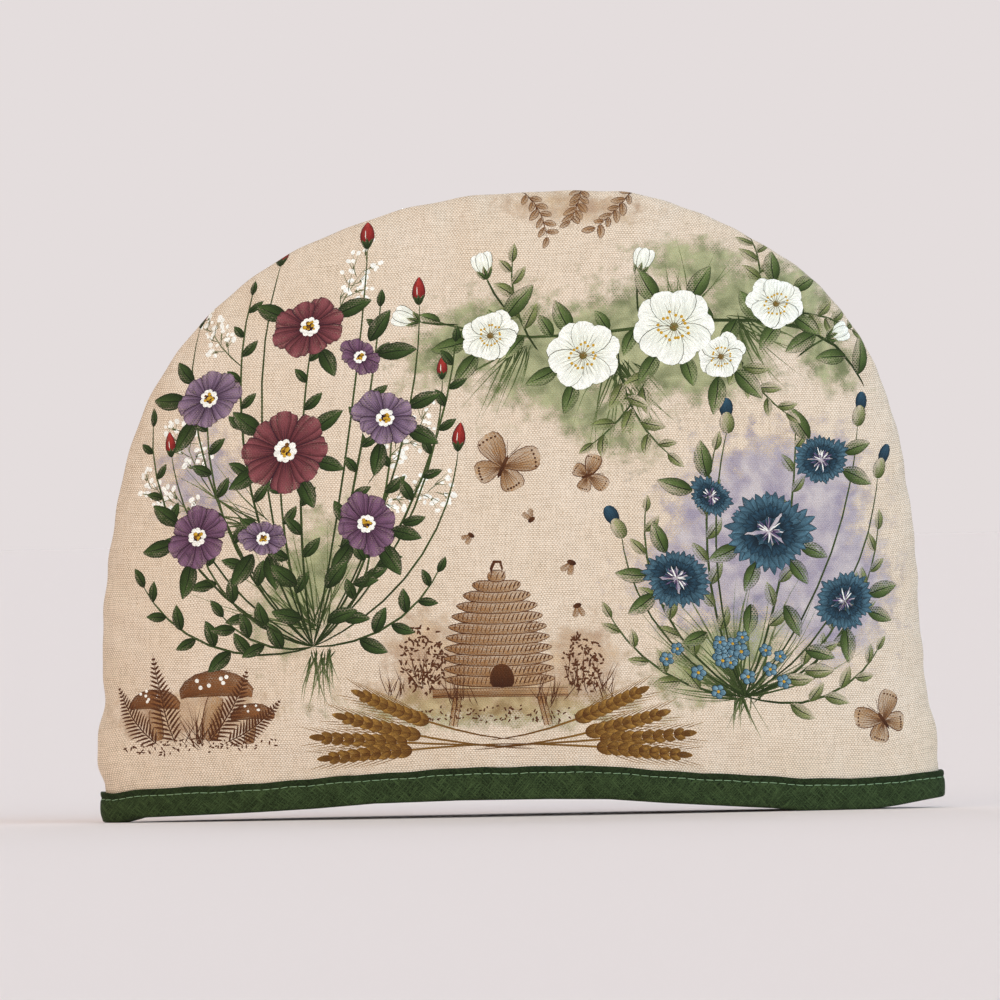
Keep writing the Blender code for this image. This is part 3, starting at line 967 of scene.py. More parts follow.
def wild_rose(centre, size, turn, flatten=1.0, lean=90.0):
    """A white dog rose: five heart-shaped petals and a ring of gold stamens."""
    for k in (0, 2, 4, 1, 3):
        angle = turn + 72.0 * k + dice.uniform(-4, 4)
        length = 0.5 * size * pressed(angle, flatten, lean) * dice.uniform(0.95, 1.05)
        lobes = []
        for off, share, bend, wide in ((-17, 0.97, -0.10, 0.62), (17, 0.97, 0.10, 0.62), (0, 0.86, 0.0, 0.6)):
            lobe = reach(centre, angle + off, length * share, bend)
            lobes.append(blade(lobe, wide * size * 0.5, 0.85, 0.38))
        fill("rose white", "rose line", lobes, 0.20)
        for off in (-15.0, -4.0, 7.0, 17.0):
            foot = centre + 0.14 * size * towards(angle + off)
            line("rose line", reach(foot, angle + 1.3 * off, length * dice.uniform(0.25, 0.42)), 0.16)
    dab("leaf sage", centre, 0.055 * size)
    for k in range(17):
        angle = 360.0 * k / 17 + dice.uniform(-6, 6)
        tip = centre + size * dice.uniform(0.13, 0.19) * towards(angle)
        line("stamen brown", [centre, 0.5 * (centre + tip) + 0.3 * towards(angle + 90), tip], 0.24)
        dab("stamen gold", tip, 0.020 * size)


def rose_bud(foot, turn, size):
    """A closing white bud in its green cup."""
    for off in (-16.0, 15.0, 0.0):
        petal = blade(reach(foot, turn + off, size, 0.02), 0.42 * size, 0.7, 0.45)
        fill("rose white", "rose line", [petal], 0.16)
    for off in (-34.0, 0.0, 32.0):
        leaf("leaf fresh", foot - 0.12 * size * towards(turn), turn + off, 0.56 * size, 0.20 * size)


def cornflower(centre, size, turn, flatten=1.0, lean=90.0):
    """A cornflower: a ring of trumpet florets with pointed lobes, round a violet heart."""
    for layer, (count, share, ink) in enumerate(((11, 1.0, "cornflower"), (8, 0.66, "cornflower deep"))):
        for k in range(count):
            angle = turn + 360.0 * (k + 0.5 * layer) / count + dice.uniform(-6, 6)
            length = 0.5 * size * share * pressed(angle, flatten, lean) * dice.uniform(0.9, 1.08)
            foot = centre + 0.12 * length * towards(angle)
            neck = centre + 0.46 * length * towards(angle)
            lay(ink, *blade(reach(foot, angle, 0.62 * length), 0.17 * length, 0.9, 0.5))
            lobes = []
            for off in (-38.0, -14.0, 12.0, 36.0):
                tip = reach(neck, angle + off, length * dice.uniform(0.44, 0.58), dice.uniform(-0.05, 0.05))
                lobes.append(blade(tip, 0.20 * length, 0.7, 0.95))
            fill(ink, "blue line", lobes, 0.17)
    for k in range(26):
        angle = dice.uniform(0, 360)
        foot = centre + size * dice.uniform(0.0, 0.07) * towards(angle)
        ink = "heart violet" if k % 3 else "dab white"
        line(ink, reach(foot, angle, size * dice.uniform(0.06, 0.13), 0.1), 0.5)


def small_blue(centre, size):
    """A forget-me-not."""
    turn = dice.uniform(0, 72)
    for k in range(5):
        spot = centre + 0.30 * size * towards(turn + 72 * k)
        dab("blue line", spot, 0.245 * size)
        dab("small blue", spot, 0.21 * size)
    dab("stamen gold", centre, 0.11 * size)


def hip(foot, turn, size):
    """A red bud on its stalk's end, with a green cup."""
    fill("hip red", "plum line", [blade(reach(foot, turn, size, 0.04), 0.46 * size, 0.55, 0.85)], 0.16)
    line("rose white", reach(foot + 0.3 * size * towards(turn + 14), turn, 0.34 * size, 0.05), 0.35)
    for off in (-24.0, 4.0, 28.0):
        leaf("leaf dark", foot - 0.1 * size * towards(turn), turn + off, 0.42 * size, 0.15 * size)


def breath(foot, turn, length, count):
    """Baby's breath: hair-fine stalks that branch, with white dabs at their tips."""
    main = reach(foot, turn, length, 0.1)
    line("grass", main, 0.55)
    for k, spot in enumerate(bezier(main, np.linspace(0.3, 1.0, count))):
        away = turn + (1 if k % 2 else -1) * dice.uniform(18, 48)
        twig = reach(spot, away, length * dice.uniform(0.16, 0.30), 0.1)
        line("grass", twig, 0.4)
        for _ in range(5):
            tip = twig[2] + dice.normal(0, 1, 2) * 2.0
            line("grass", [twig[1], tip], 0.3)
            dab("dab white", tip, dice.uniform(0.65, 1.15), 1.3, dice.uniform(0, 180))


def collar(ink, centre, size, turns, length):
    """Leaves that look out from behind a flower."""
    for turn in turns:
        turn = turn + dice.uniform(-8, 8)
        far = length * dice.uniform(0.9, 1.15)
        leaf(ink, centre + 0.36 * size * towards(turn), turn, far, 0.46 * far, 0.06)


def bed(kind, leaf_ink, leaf_length, flowers):
    """Flowers of one kind, whose collars of leaves all lie behind them.

    A row holds the turns of a flower's leaves, its centre and size, and the rest of what it takes.
    """
    for turns, centre, size, *_ in flowers:
        collar(leaf_ink, centre, size, turns, leaf_length)
    for _, *flower in flowers:
        kind(*flower)


def grasses(foot, turn, fan, count, length, width=0.7, ink="grass"):
    """Fine blades that fan out from about one place."""
    for _ in range(count):
        start = foot + np.array([dice.normal(0, 2.6), dice.normal(0, 1.4)])
        angle = turn + fan * dice.uniform(-1, 1)
        bend = dice.uniform(-0.16, 0.16)
        far = length * dice.uniform(0.45, 1.1)
        line(ink, reach(start, angle, far, bend), width * dice.uniform(0.5, 1.2), end=0.9)


def wheat_ear(controls):
    """A ripe ear: paired grains and long awns on a bowed straw."""
    line("wheat line", controls, 0.95, start=0.5, end=0.2)
    spine = bezier(controls, np.linspace(0.0, 1.0, 60))
    for k in range(8):
        at = 34 + 3 * k
        step = spine[at] - spine[at - 3]
        along = math.degrees(math.atan2(step[1], step[0]))
        for side in (-1, 1):
            grain = reach(spine[at], along + side * 24, 6.6 - 0.25 * k, side * 0.05)
            line("wheat line", reach(grain[2], along + side * 13, 13.0 - 0.5 * k, side * 0.02), 0.30)
            fill("wheat", "wheat line", [blade(grain, 2.7, 0.6, 0.8)], 0.14)
    fill("wheat", "wheat line", [blade(reach(spine[57], along, 6.5), 2.6, 0.6, 0.8)], 0.14)


# ------------------------------------------------------------------------------- sepia vignettes


def hatch(corner, along, across, count, width=0.28, ink="sepia fine"):
    """Fine parallel strokes: from corner, each one along, and stepping across."""
    corner, along, across = (np.asarray(v, float) for v in (corner, along, across))
    for k in range(count):
        foot = corner + across * (k + dice.uniform(-0.25, 0.25)) / count
        far = foot + along * dice.uniform(0.7, 1.08)
        line(ink, [foot, 0.5 * (foot + far) + dice.normal(0, 0.12, 2), far], width)


def foliage(centre, wide, high, count, size=1.8, ink="sepia line"):
    """A clump of leaves, in small touches of the pen."""
    for _ in range(count):
        angle, far = dice.uniform(0, 2 * np.pi), math.sqrt(dice.uniform(0, 1))
        spot = centre + np.array([wide * far * math.cos(angle), high * far * math.sin(angle)])
        turn = dice.uniform(0, 360)
        line(ink, reach(spot, turn, size * dice.uniform(0.7, 1.5), 0.2), size * 0.5)


def bee_skep(middle, foot):
    """A straw bee skep on its stool among grasses, drawn in sepia with a fine pen."""
    half, rows, rise = 22.0, 11, 4.4
    for x in (-17.0, 16.0):
        lay_plank([(middle + x, foot + 9), (middle + x * 1.15, foot - 4)], 3.0)
    lay_plank([(middle - 27, foot + 10), (middle + 27, foot + 10)], 3.4)
    for k in range(rows):
        wide = half * (1.0 - (k / (rows - 0.8)) ** 2.5) ** 0.62
        level = foot + 12.5 + k * rise
        body = [(middle - wide, level + 1.6), (middle, level - 0.6), (middle + wide, level + 1.6)]
        spine = bezier(body)
        thick = 0.5 * rise * (1.0 - abs(2 * TOUCH - 1) ** 6) + 0.05
        lay("sepia line", spine + [0, 0.5 * rise - 0.5], thick + 0.35)
        lay("sepia tone", spine + [0, 0.5 * rise - 0.5], thick)
        turns = int(wide * 1.15)
        for j in range(turns):
            share = 0.97 * (j + 0.5) / turns
            size = 1.0 - abs(2 * share - 1) ** 6
            spot = spine[0] * (1 - share) + spine[-1] * share
            spot[1] = level + 1.6 - 2.2 * 2 * share * (1 - share) + 0.5 * rise * (1 - size)
            lean = 1.6 * (0.35 + share) * size
            far = spot + np.array([lean, rise * 0.82 * size])
            weight = 0.32 + 0.62 * abs(share - 0.32)
            if size > 0.3:
                line("sepia line", [spot, spot + [lean * 0.2, rise * 0.5 * size], far], weight)
    handle = [(middle + off, foot + up) for off, up in ((-2, 60), (-3, 67), (4, 67), (2, 60))]
    line("sepia line", handle, 1.5)
    door = [blade([(middle + 1, foot + 12), (middle + 1, foot + 22)], 9.0, 0.22, 0.45)]
    fill("sepia dark", "sepia line", door, 0.3)
    hatch((middle + 8, foot + 14), (9, 1.5), (2.5, 26), 16, 0.34)
    hatch((middle - 25, foot + 8.8), (52, 0.3), (0, 2.2), 4, 0.26)


def lay_plank(ends, width):
    """A plank seen side on: a toned board with a dark lower edge."""
    spine = np.linspace(ends[0], ends[1], 7)
    lay("sepia line", spine, np.full(7, 0.5 * width + 0.25))
    lay("sepia tone", spine, np.full(7, 0.5 * width))
    shade = spine + np.array([0.0, -0.32 * width]) * (abs(ends[1][0] - ends[0][0]) > 5)
    lay("sepia line", shade, np.full(7, 0.22))


def bee(spot, size, turn):
    """A small bee in flight."""
    for off in (55.0, 100.0):
        wing = blade(reach(spot, turn + off, size, 0.1), 0.42 * size, 0.8, 0.4)
        fill("sepia tone", "sepia line", [wing], 0.12)
    dab("sepia dark", spot, 0.22 * size, 1.7, turn)


def butterfly(centre, size, turn):
    """A butterfly with open wings, drawn in sepia."""
    for side in (-1, 1):
        for angle, far, wide in ((128.0, 0.44, 0.36), (52.0, 0.62, 0.40)):
            controls = reach(centre, turn + side * angle, far * size, side * -0.08)
            fill("sepia tone", "sepia line", [blade(controls, wide * size, 0.9, 0.36)], 0.3)
            for off in np.linspace(-17, 17, 6):
                rib = reach(centre, turn + side * (angle + off), far * size * dice.uniform(0.8, 0.93))
                line("sepia fine", rib, 0.30)
            for off in np.linspace(-15, 15, 5):
                spot = centre + 0.86 * far * size * towards(turn + side * (angle + off))
                dab("sepia dark", spot, 0.020 * size)
    tail, head = centre - 0.2 * size * towards(turn), centre + 0.2 * size * towards(turn)
    line("sepia dark", reach(tail, turn, 0.42 * size), 0.07 * size, start=0.3, end=0.3)
    for side in (-1, 1):
        line("sepia line", reach(head, turn + side * 22, 0.3 * size, side * 0.12), 0.3)


def toadstool(foot, size, lean):
    """A toadstool with a freckled cap and fine gills."""
    foot = np.asarray(foot, float)
    top = foot + np.array([lean, 0.62 * size])
    stem = [foot, foot + [0.2 * lean, 0.3 * size], top]
    fill("sepia tone", "sepia line", [blade(stem, 0.24 * size, 0.12, 0.12)], 0.3)
    hatch(foot + [0.03 * size, 1.0], (0.07 * size, 0.2), (lean * 0.9, 0.5 * size), 9, 0.3)
    cap = [top + [-0.5 * size, -0.02 * size], top + [0, 0.06 * size], top + [0.5 * size, -0.04 * size]]
    spine, halves = blade(cap, 0.52 * size, 0.42, 0.42)
    arch = spine + np.array([0, 1]) * halves[:, None] * 0.62
    fill("sepia cap", "sepia line", [(arch, halves * 0.66)], 0.32)
    for k in range(15):
        share = (k + 0.5) / 15
        low = cap[0] * (1 - share) + cap[2] * share + [0, 0.02 * size]
        line("sepia fine", [low, 0.5 * (low + top), top + [0.35 * (low - top)[0], 0.04 * size]], 0.28)
    hatch(top + [0.16 * size, 0.08 * size], (0.24 * size, -0.02 * size), (-0.12 * size, 0.3 * size), 10, 0.36)
    for _ in range(6):
        freckle = [dice.uniform(-0.3, 0.2) * size, dice.uniform(0.12, 0.34) * size]
        dab("dab white", top + freckle, 0.030 * size)


def fern(foot, turn, length, bend, ink="sepia line"):
    """A fern frond."""
    controls = reach(foot, turn, length, bend)
    line(ink, controls, 0.55)
    spine = bezier(controls, np.linspace(0.0, 1.0, 40))
    for k in range(2, 38, 2):
        step = spine[k + 1] - spine[k - 1]
        along = math.degrees(math.atan2(step[1], step[0]))
        size = 0.24 * length * (1.0 - (k / 39.0) ** 1.5) * min(1.0, 0.5 + k / 16.0)
        for side in (-1, 1):
            line(ink, reach(spine[k], along + side * 56, size, side * -0.12), 0.16 * length**0.5)


# ------------------------------------------------------------------------------ the print's layout

# Thin washes of ink behind the motifs: which of the three inks, where its soft patch lies, how far it
# spreads, how it turns, and how strong it is.
GREEN, VIOLET, SEPIA = range(3)
WASHES = table(
    "ink across up wide high turn amount",
    (GREEN, 98, 206, 26, 15, 20, 1.0),
    (GREEN, 62, 190, 30, 17, -15, 1.15),
    (GREEN, 22, 184, 28, 16, 10, 1.1),
    (GREEN, -18, 192, 24, 13, 25, 0.85),
    (GREEN, 70, 222, 22, 10, -10, 0.7),
    (GREEN, 30, 160, 26, 10, -30, 0.75),
    (GREEN, 128, 186, 15, 10, -50, 0.7),
    (GREEN, -82, 92, 26, 15, 60, 0.7),
    (GREEN, 84, 62, 26, 13, 30, 0.75),
    (GREEN, -10, 38, 52, 8, 0, 0.62),
    (VIOLET, 104, 112, 32, 28, 30, 1.2),
    (VIOLET, 132, 88, 20, 22, -20, 1.0),
    (VIOLET, 74, 92, 20, 15, 0, 0.85),
    (VIOLET, 128, 134, 16, 12, 60, 0.8),
    (VIOLET, -128, 138, 16, 20, 10, 0.55),
    (SEPIA, -8, 44, 40, 9, 0, 0.95),
    (SEPIA, -34, 58, 13, 15, 20, 0.85),
    (SEPIA, 26, 56, 12, 14, -20, 0.8),
    (SEPIA, -134, 40, 26, 8, 0, 0.85),
    (SEPIA, 16, 247, 26, 6, -4, 0.6),
)


def bowed(foot, tip, bend):
    """Control points from foot to tip, bowed to one side by a share of the way."""
    foot, tip = np.asarray(foot, float), np.asarray(tip, float)
    aside = np.array([foot[1] - tip[1], tip[0] - foot[0]])
    return [foot, foot + 0.3 * (tip - foot) + bend * aside, foot + 0.7 * (tip - foot) + bend * aside, tip]


def cosmos_bunch():
    """Mauve, plum and wine cosmos with red buds and baby's breath, tied low on the left."""
    tie = np.array([-80.0, 66.0])
    grasses(tie + [2, 8], 112, 56, 30, 62, 0.6)
    grasses(tie + [4, -2], 262, 26, 26, 26)
    grasses((-102, 118), 160, 34, 16, 44, 0.6)
    for foot, turn, length, count in (
        ((-118, 122), 158, 34, 9),
        ((-122, 132), 118, 30, 8),
        ((-64, 120), 14, 34, 9),
        ((-58, 132), 48, 30, 8),
        ((-78, 196), 66, 32, 8),
        ((-112, 184), 132, 30, 8),
    ):
        breath(foot, turn, length, count)
    for tip, bend, size in (
        ((-141, 149), 0.14, 10),
        ((-102, 230), 0.08, 12),
        ((-66, 234), -0.05, 12),
        ((-42, 208), -0.12, 11),
        ((-136, 204), 0.12, 11),
        ((-22, 146), -0.20, 11),
        ((-30, 176), -0.16, 9),
    ):
        stem = bowed(tie, tip, bend)
        line("stem green", stem, 0.85, end=0.3)
        along = stem[3] - stem[2]
        hip(tip, math.degrees(math.atan2(along[1], along[0])), size)
    for tip, bend, count, length in (
        ((-94, 148), 0.05, 5, 12),
        ((-128, 114), 0.18, 6, 12),
        ((-56, 114), -0.18, 5, 12),
        ((-126, 174), 0.14, 9, 12),
        ((-50, 164), -0.14, 8, 12),
        ((-84, 200), 0.03, 10, 12),
        ((-154, 98), 0.24, 8, 13),
        ((-118, 82), 0.20, 5, 13),
        ((-28, 98), -0.22, 7, 12),
        ((-152, 168), 0.20, 9, 11),
        ((-26, 198), -0.14, 11, 11),
        ((-112, 224), 0.10, 12, 11),
        ((-58, 214), -0.06, 11, 11),
    ):
        leafy_stem("leaf dark", bowed(tie, tip, bend), 1.0, count, length, first=0.3)
    flowers = (
        ((150, 200, 250), (-128, 114), 29, 10, "cosmos plum", 0.80, 150),
        ((330, 20, 260), (-52, 160), 28, 30, "cosmos mauve", 0.74, 60),
        ((130, 185, 235), (-126, 172), 29, 5, "cosmos mauve", 0.76, 120),
        ((20, 160, 300), (-86, 200), 31, 20, "cosmos wine", 0.80, 95),
        ((300, 350, 230), (-58, 116), 28, 12, "cosmos plum", 0.78, 30),
        ((240, 280), (-100, 112), 21, 33, "cosmos mauve", 0.66, 80),
        ((10, 60), (-64, 186), 20, 3, "cosmos plum", 0.62, 50),
        ((35, 150, 215, 290, 335), (-92, 148), 36, 0, "cosmos wine", 0.95, 90),
    )
    bed(cosmos, "leaf dark", 14, flowers)
    for foot, turn, length in (
        ((-86, 92), 140, 14),
        ((-74, 90), 52, 14),
        ((-84, 78), 164, 13),
        ((-74, 76), 18, 13),
    ):
        leaf("leaf dark", foot, turn, length, 0.48 * length, 0.08)


def rose_spray():
    """White dog roses and buds along a briar that bows under the top seam."""
    grasses((40, 180), 285, 40, 30, 40)
    grasses((88, 200), 318, 34, 18, 38)
    grasses((0, 188), 235, 30, 20, 34)
    grasses((64, 200), 80, 34, 18, 34)
    briar = [(146, 172), (112, 236), (30, 166), (-44, 204)]
    leafy_stem("leaf fresh", briar, 1.4, 19, 15, first=0.04, lean=55)
    for foot, tip, bend in (
        ((58, 190), (30, 146), 0.12),
        ((96, 204), (90, 240), -0.12),
        ((8, 186), (-6, 226), 0.12),
        ((84, 196), (112, 160), -0.12),
        ((40, 186), (64, 142), -0.14),
        ((110, 204), (142, 196), 0.10),
    ):
        leafy_stem("leaf sage", bowed(foot, tip, bend), 0.9, 7, 12, first=0.28)
    for foot, turn in (((-42, 200), 160), ((-16, 218), 110), ((128, 194), 20), ((46, 218), 80)):
        line("stem green", bowed(foot - 17.0 * towards(turn + 14), foot, 0.06), 0.9, end=0.2)
        rose_bud(foot, turn, 11)
    roses = (
        ((330, 30, 100), (104, 208), 27, 10, 0.80, 70),
        ((190, 240, 60), (-12, 193), 25, 40, 0.78, 110),
        ((200, 260, 120), (26, 184), 31, 0, 0.92, 90),
        ((270, 320), (82, 184), 23, 50, 0.72, 130),
        ((60, 130, 240, 290), (62, 196), 35, 25, 0.95, 90),
    )
    bed(wild_rose, "leaf fresh", 15, roses)


def cornflower_bunch():
    """Cornflowers and forget-me-nots on a lavender wash, low on the right."""
    tie = (92, 44)
    grasses(tie, 108, 40, 30, 60, 0.8)
    grasses(tie, 35, 24, 18, 56)
    grasses(tie, 160, 20, 16, 44)
    grasses(tie, 268, 30, 18, 18)
    for tip, bend, count, length in (
        ((152, 118), -0.22, 9, 12),
        ((54, 124), 0.20, 8, 12),
        ((152, 66), -0.22, 7, 12),
        ((114, 160), -0.08, 10, 12),
        ((38, 78), 0.20, 7, 12),
        ((82, 150), 0.10, 9, 12),
        ((140, 92), -0.16, 6, 12),
    ):
        leafy_stem("leaf sage", bowed(tie, tip, bend), 1.0, count, length, first=0.28, lean=36)
    for tip, bend, turn in (
        ((86, 154), 0.08, 96),
        ((152, 136), -0.16, 66),
        ((44, 110), 0.18, 118),
        ((142, 158), -0.12, 78),
    ):
        line("stem green", bowed(tie, tip, bend), 0.8, end=0.3)
        bud = blade(reach(tip + 4 * towards(turn), turn, 9), 5.4, 0.6, 0.5)
        fill("cornflower deep", "blue line", [bud], 0.14)
        cup = blade(reach(tip - 2 * towards(turn), turn, 9), 5.8, 0.45, 0.5)
        fill("leaf sage", "leaf line", [cup], 0.12)
    flowers = (
        ((330, 20, 270), (136, 84), 30, 20, 0.80, 130),
        ((170, 220, 120), (66, 92), 31, 5, 0.82, 60),
        ((20, 120, 330), (126, 142), 28, 0, 0.72, 100),
        ((110, 170), (80, 126), 22, 12, 0.62, 60),
        ((200, 250, 300, 340), (104, 112), 38, 10, 0.94, 90),
    )
    bed(cornflower, "leaf fresh", 14, flowers)
    for foot, turn, length in (
        ((96, 82), 262, 13),
        ((110, 82), 296, 14),
        ((78, 70), 205, 12),
        ((118, 64), 345, 13),
    ):
        leaf("leaf fresh", foot, turn, length, 0.46 * length, 0.08)
    for _ in range(19):
        small_blue((88, 60) + dice.normal(0, 1, 2) * [13.0, 7.0], dice.uniform(5.0, 7.0))


def sepia_scenes():
    """The pen drawings: a bee skep low in the middle, toadstools on the left, and butterflies."""
    foliage((-36, 58), 9, 15, 150)
    foliage((28, 56), 8, 13, 120)
    bee_skep(-6.0, 34.0)
    for spot in ((-36, 48), (24, 46), (-22, 40), (12, 39), (36, 42), (-48, 44)):
        grasses(spot, 90, 34, 16, 15, 0.42, "sepia line")
    foliage((-6, 35), 44, 3.2, 100, 1.4)
    bee((26, 80), 5.0, 200)
    bee((24, 98), 5.4, 160)
    bee((8, 116), 4.6, 40)
    bee((-16, 110), 4.2, 140)
    for foot, size, lean in (((-146, 30), 22, -2), ((-124, 29), 30, 3), ((-108, 27), 17, 2)):
        toadstool(foot, size, lean)
    for turn, length, bend in ((128, 34, 0.14), (104, 40, 0.08), (60, 36, -0.12), (36, 30, -0.16)):
        fern((-134 + 0.3 * (90 - turn), 28), turn, length, bend)
    grasses((-128, 28), 90, 50, 30, 16, 0.42, "sepia line")
    foliage((-128, 27), 34, 3.0, 80, 1.4)
    butterfly((-4, 138), 25, 68)
    butterfly((150, 34), 21, 118)
    butterfly((30, 134), 15, 20)
    for foot, turn, length in (((-6, 257), 300, 26), ((18, 259), 262, 18), ((40, 257), 235, 24)):
        twig = reach(foot, turn, length, 0.14)
        line("sepia line", twig, 0.6)
        spine = bezier(twig, np.linspace(0.0, 1.0, 24))
        for k in range(3, 24, 2):
            size = dice.uniform(4.2, 6.2)
            away = turn + (48 if k % 4 == 1 else -48) + dice.uniform(-12, 12)
            shape = blade(reach(spine[k], away, size, 0.1), 0.46 * size, 0.7, 0.8)
            fill("sepia tone", "sepia line", [shape], 0.2)
            line("sepia line", reach(spine[k], away, 0.8 * size, 0.1), 0.3)


def wheat_garland():
    """Ripe wheat in gold and brown, whose straws cross under the skep."""
    for side in (1, -1):
        for over, low, far, high in ((13, 23, 64, 36), (9, 24, 74, 28), (6, 27, 56, 45), (15, 25, 72, 19)):
            bow = (0.62 * far, 0.4 * low + 0.5 * high)
            places = ((-over, low - 3), (0.25 * far, low - 2), bow, (far, high))
            wheat_ear([(-6.0 + side * across, up) for across, up in places])


def compose():
    """Lays every motif, from those painted first to those on top."""
    sepia_scenes()
    wheat_garland()
    cornflower_bunch()
    rose_spray()
    cosmos_bunch()


def keep_inside(points):
    """Moves points that lie off the panel, or too near its seam, back towards its middle."""
    points = points.copy()
    points[:, 1] = np.maximum(points[:, 1], PRINT_FOOT)
    off = np.flatnonzero(seam_distance(points[:, 0], points[:, 1])[0] < SEAM_KEEP)
    low, high = np.zeros(len(off)), np.ones(len(off))
    for _ in range(HALVINGS):
        share = 0.5 * (low + high)
        tried = points[off] * share[:, None]
        fits = seam_distance(tried[:, 0], tried[:, 1])[0] > SEAM_KEEP
        low, high = np.where(fits, share, low), np.where(fits, high, share)
    points[off] *= low[:, None]
    points[:, 1] = np.maximum(points[:, 1], HEM_KEEP)
    return points


def stroke_sides(spine, halves):
    """The points left and right of a stroke's spine."""
    run = np.gradient(spine, axis=0)
    run /= np.maximum(np.linalg.norm(run, axis=1), 1e-9)[:, None]
    aside = np.stack([-run[:, 1], run[:, 0]], axis=1) * np.maximum(halves, LEAST_HALF)[:, None]
    return spine + aside, spine - aside


def stroke_loops():
    """The closed outline of every stroke on the flat cloth."""
    sides = [stroke_sides(spine, halves) for _, spine, halves in strokes]
    loops = [np.concatenate([left, right[::-1]]) for left, right in sides]
    ends = np.cumsum([len(loop) for loop in loops])[:-1]
    return np.split(keep_inside(np.concatenate(loops)), ends)


class Spots:
    """Points on the flat cloth, sorted so that those inside an outline are found fast."""

    def __init__(self, points):
        self.points = points
        self.order = np.argsort(points[:, 0], kind="stable")
        self.across = points[self.order, 0]

    def inside(self, loop):
        low, high = loop.min(axis=0), loop.max(axis=0)
        first, last = np.searchsorted(self.across, [low[0], high[0]])
        near = self.order[first:last]
        near = near[(self.points[near, 1] >= low[1]) & (self.points[near, 1] <= high[1])]
        return near[inside_loop(self.points[near], loop)]


def print_outlines(loops):
    """The points and edges that the print adds to the flat panel: only those that aren't painted over."""
    extra = [np.zeros((0, 2))]
    extra_of = [np.zeros(0, int)]
    for index, (ink, spine, halves) in enumerate(strokes):
        if halves.max() > SHADED_HALF and "line" not in ink:
            left, right = stroke_sides(spine, SHADED_AT * halves)
            inner = np.concatenate([spine[1:-1:2], left[2:-1:2], right[2:-1:2]])
            extra.append(inner)
            extra_of.append(np.full(len(inner), index))
    extra = keep_inside(np.concatenate(extra))
    points = np.concatenate([*loops, extra])
    owner = np.concatenate([np.full(len(loop), k) for k, loop in enumerate(loops)] + extra_of)
    after = np.arange(1, len(points) + 1)
    first = 0
    for loop in loops:
        after[first + len(loop) - 1] = first
        first += len(loop)
    halfway = 0.5 * (points[:first] + points[after[:first]])
    spots = Spots(np.concatenate([points, halfway]))
    top = np.full(len(points) + first, -1)
    for index, loop in enumerate(loops):
        top[spots.inside(loop)] = index
    shown = top <= np.concatenate([owner, owner[:first]])
    ring = np.arange(first)
    edges = ring[shown[ring] | shown[after[:first]] | shown[len(points) + ring]]
    used = np.zeros(len(points), bool)
    used[edges] = used[after[edges]] = True
    used[first:] = shown[first : len(points)]
    number = np.cumsum(used) - 1
    return points[used], list(zip(number[edges].tolist(), number[after[edges]].tolist()))


def inside_loop(points, loop):
    """Which points lie in a closed outline."""
    x, y = points[:, 0:1], points[:, 1:2]
    x1, y1 = loop[:, 0], loop[:, 1]
    x2, y2 = np.roll(x1, -1), np.roll(y1, -1)
    spans = (y1 <= y) != (y2 <= y)
    slope = (x2 - x1) / np.where(abs(y2 - y1) < 1e-9, 1e-9, y2 - y1)
    return (spans & (x < x1 + (y - y1) * slope)).sum(axis=1) % 2 == 1


def stroke_place(points, spine, halves):
    """Where points lie in a stroke: the share along it, the share across it, and both in mm."""
    legs = np.diff(spine, axis=0)
    squares = np.maximum((legs**2).sum(axis=1), 1e-12)
    offset = points[:, None, :] - spine[None, :-1, :]
    share = np.clip((offset * legs).sum(axis=2) / squares, 0.0, 1.0)
    gap = offset - share[..., None] * legs
    nearest = (gap**2).sum(axis=2).argmin(axis=1)
    pick = np.arange(len(points))
    share, gap = share[pick, nearest], gap[pick, nearest]
    lengths = arc_lengths(spine)
    along = lengths[nearest] + share * np.sqrt(squares[nearest])
    half = halves[nearest] * (1 - share) + halves[nearest + 1] * share
    side = np.sign(legs[nearest, 0] * gap[:, 1] - legs[nearest, 1] * gap[:, 0])
    across = side * np.linalg.norm(gap, axis=1)
    return along / lengths[-1], np.clip(across / np.maximum(half, 0.05), -1.0, 1.0), along, across


def wash_amounts(flat):
    """How strong each of the three washes is at places on the flat cloth."""
    amounts = np.zeros((len(flat), 3))
    firm, thins = WASH_SHAPE
    for wash in WASHES:
        offset = flat - [wash["across"], wash["up"]]
        ahead = towards(wash["turn"])
        along = (offset @ ahead) / wash["wide"]
        aside = (offset @ [-ahead[1], ahead[0]]) / wash["high"]
        patch = wash["amount"] * np.exp(-((along**2 + aside**2) ** firm) * thins)
        amounts[:, wash["ink"]] = np.maximum(amounts[:, wash["ink"]], patch)
    return amounts


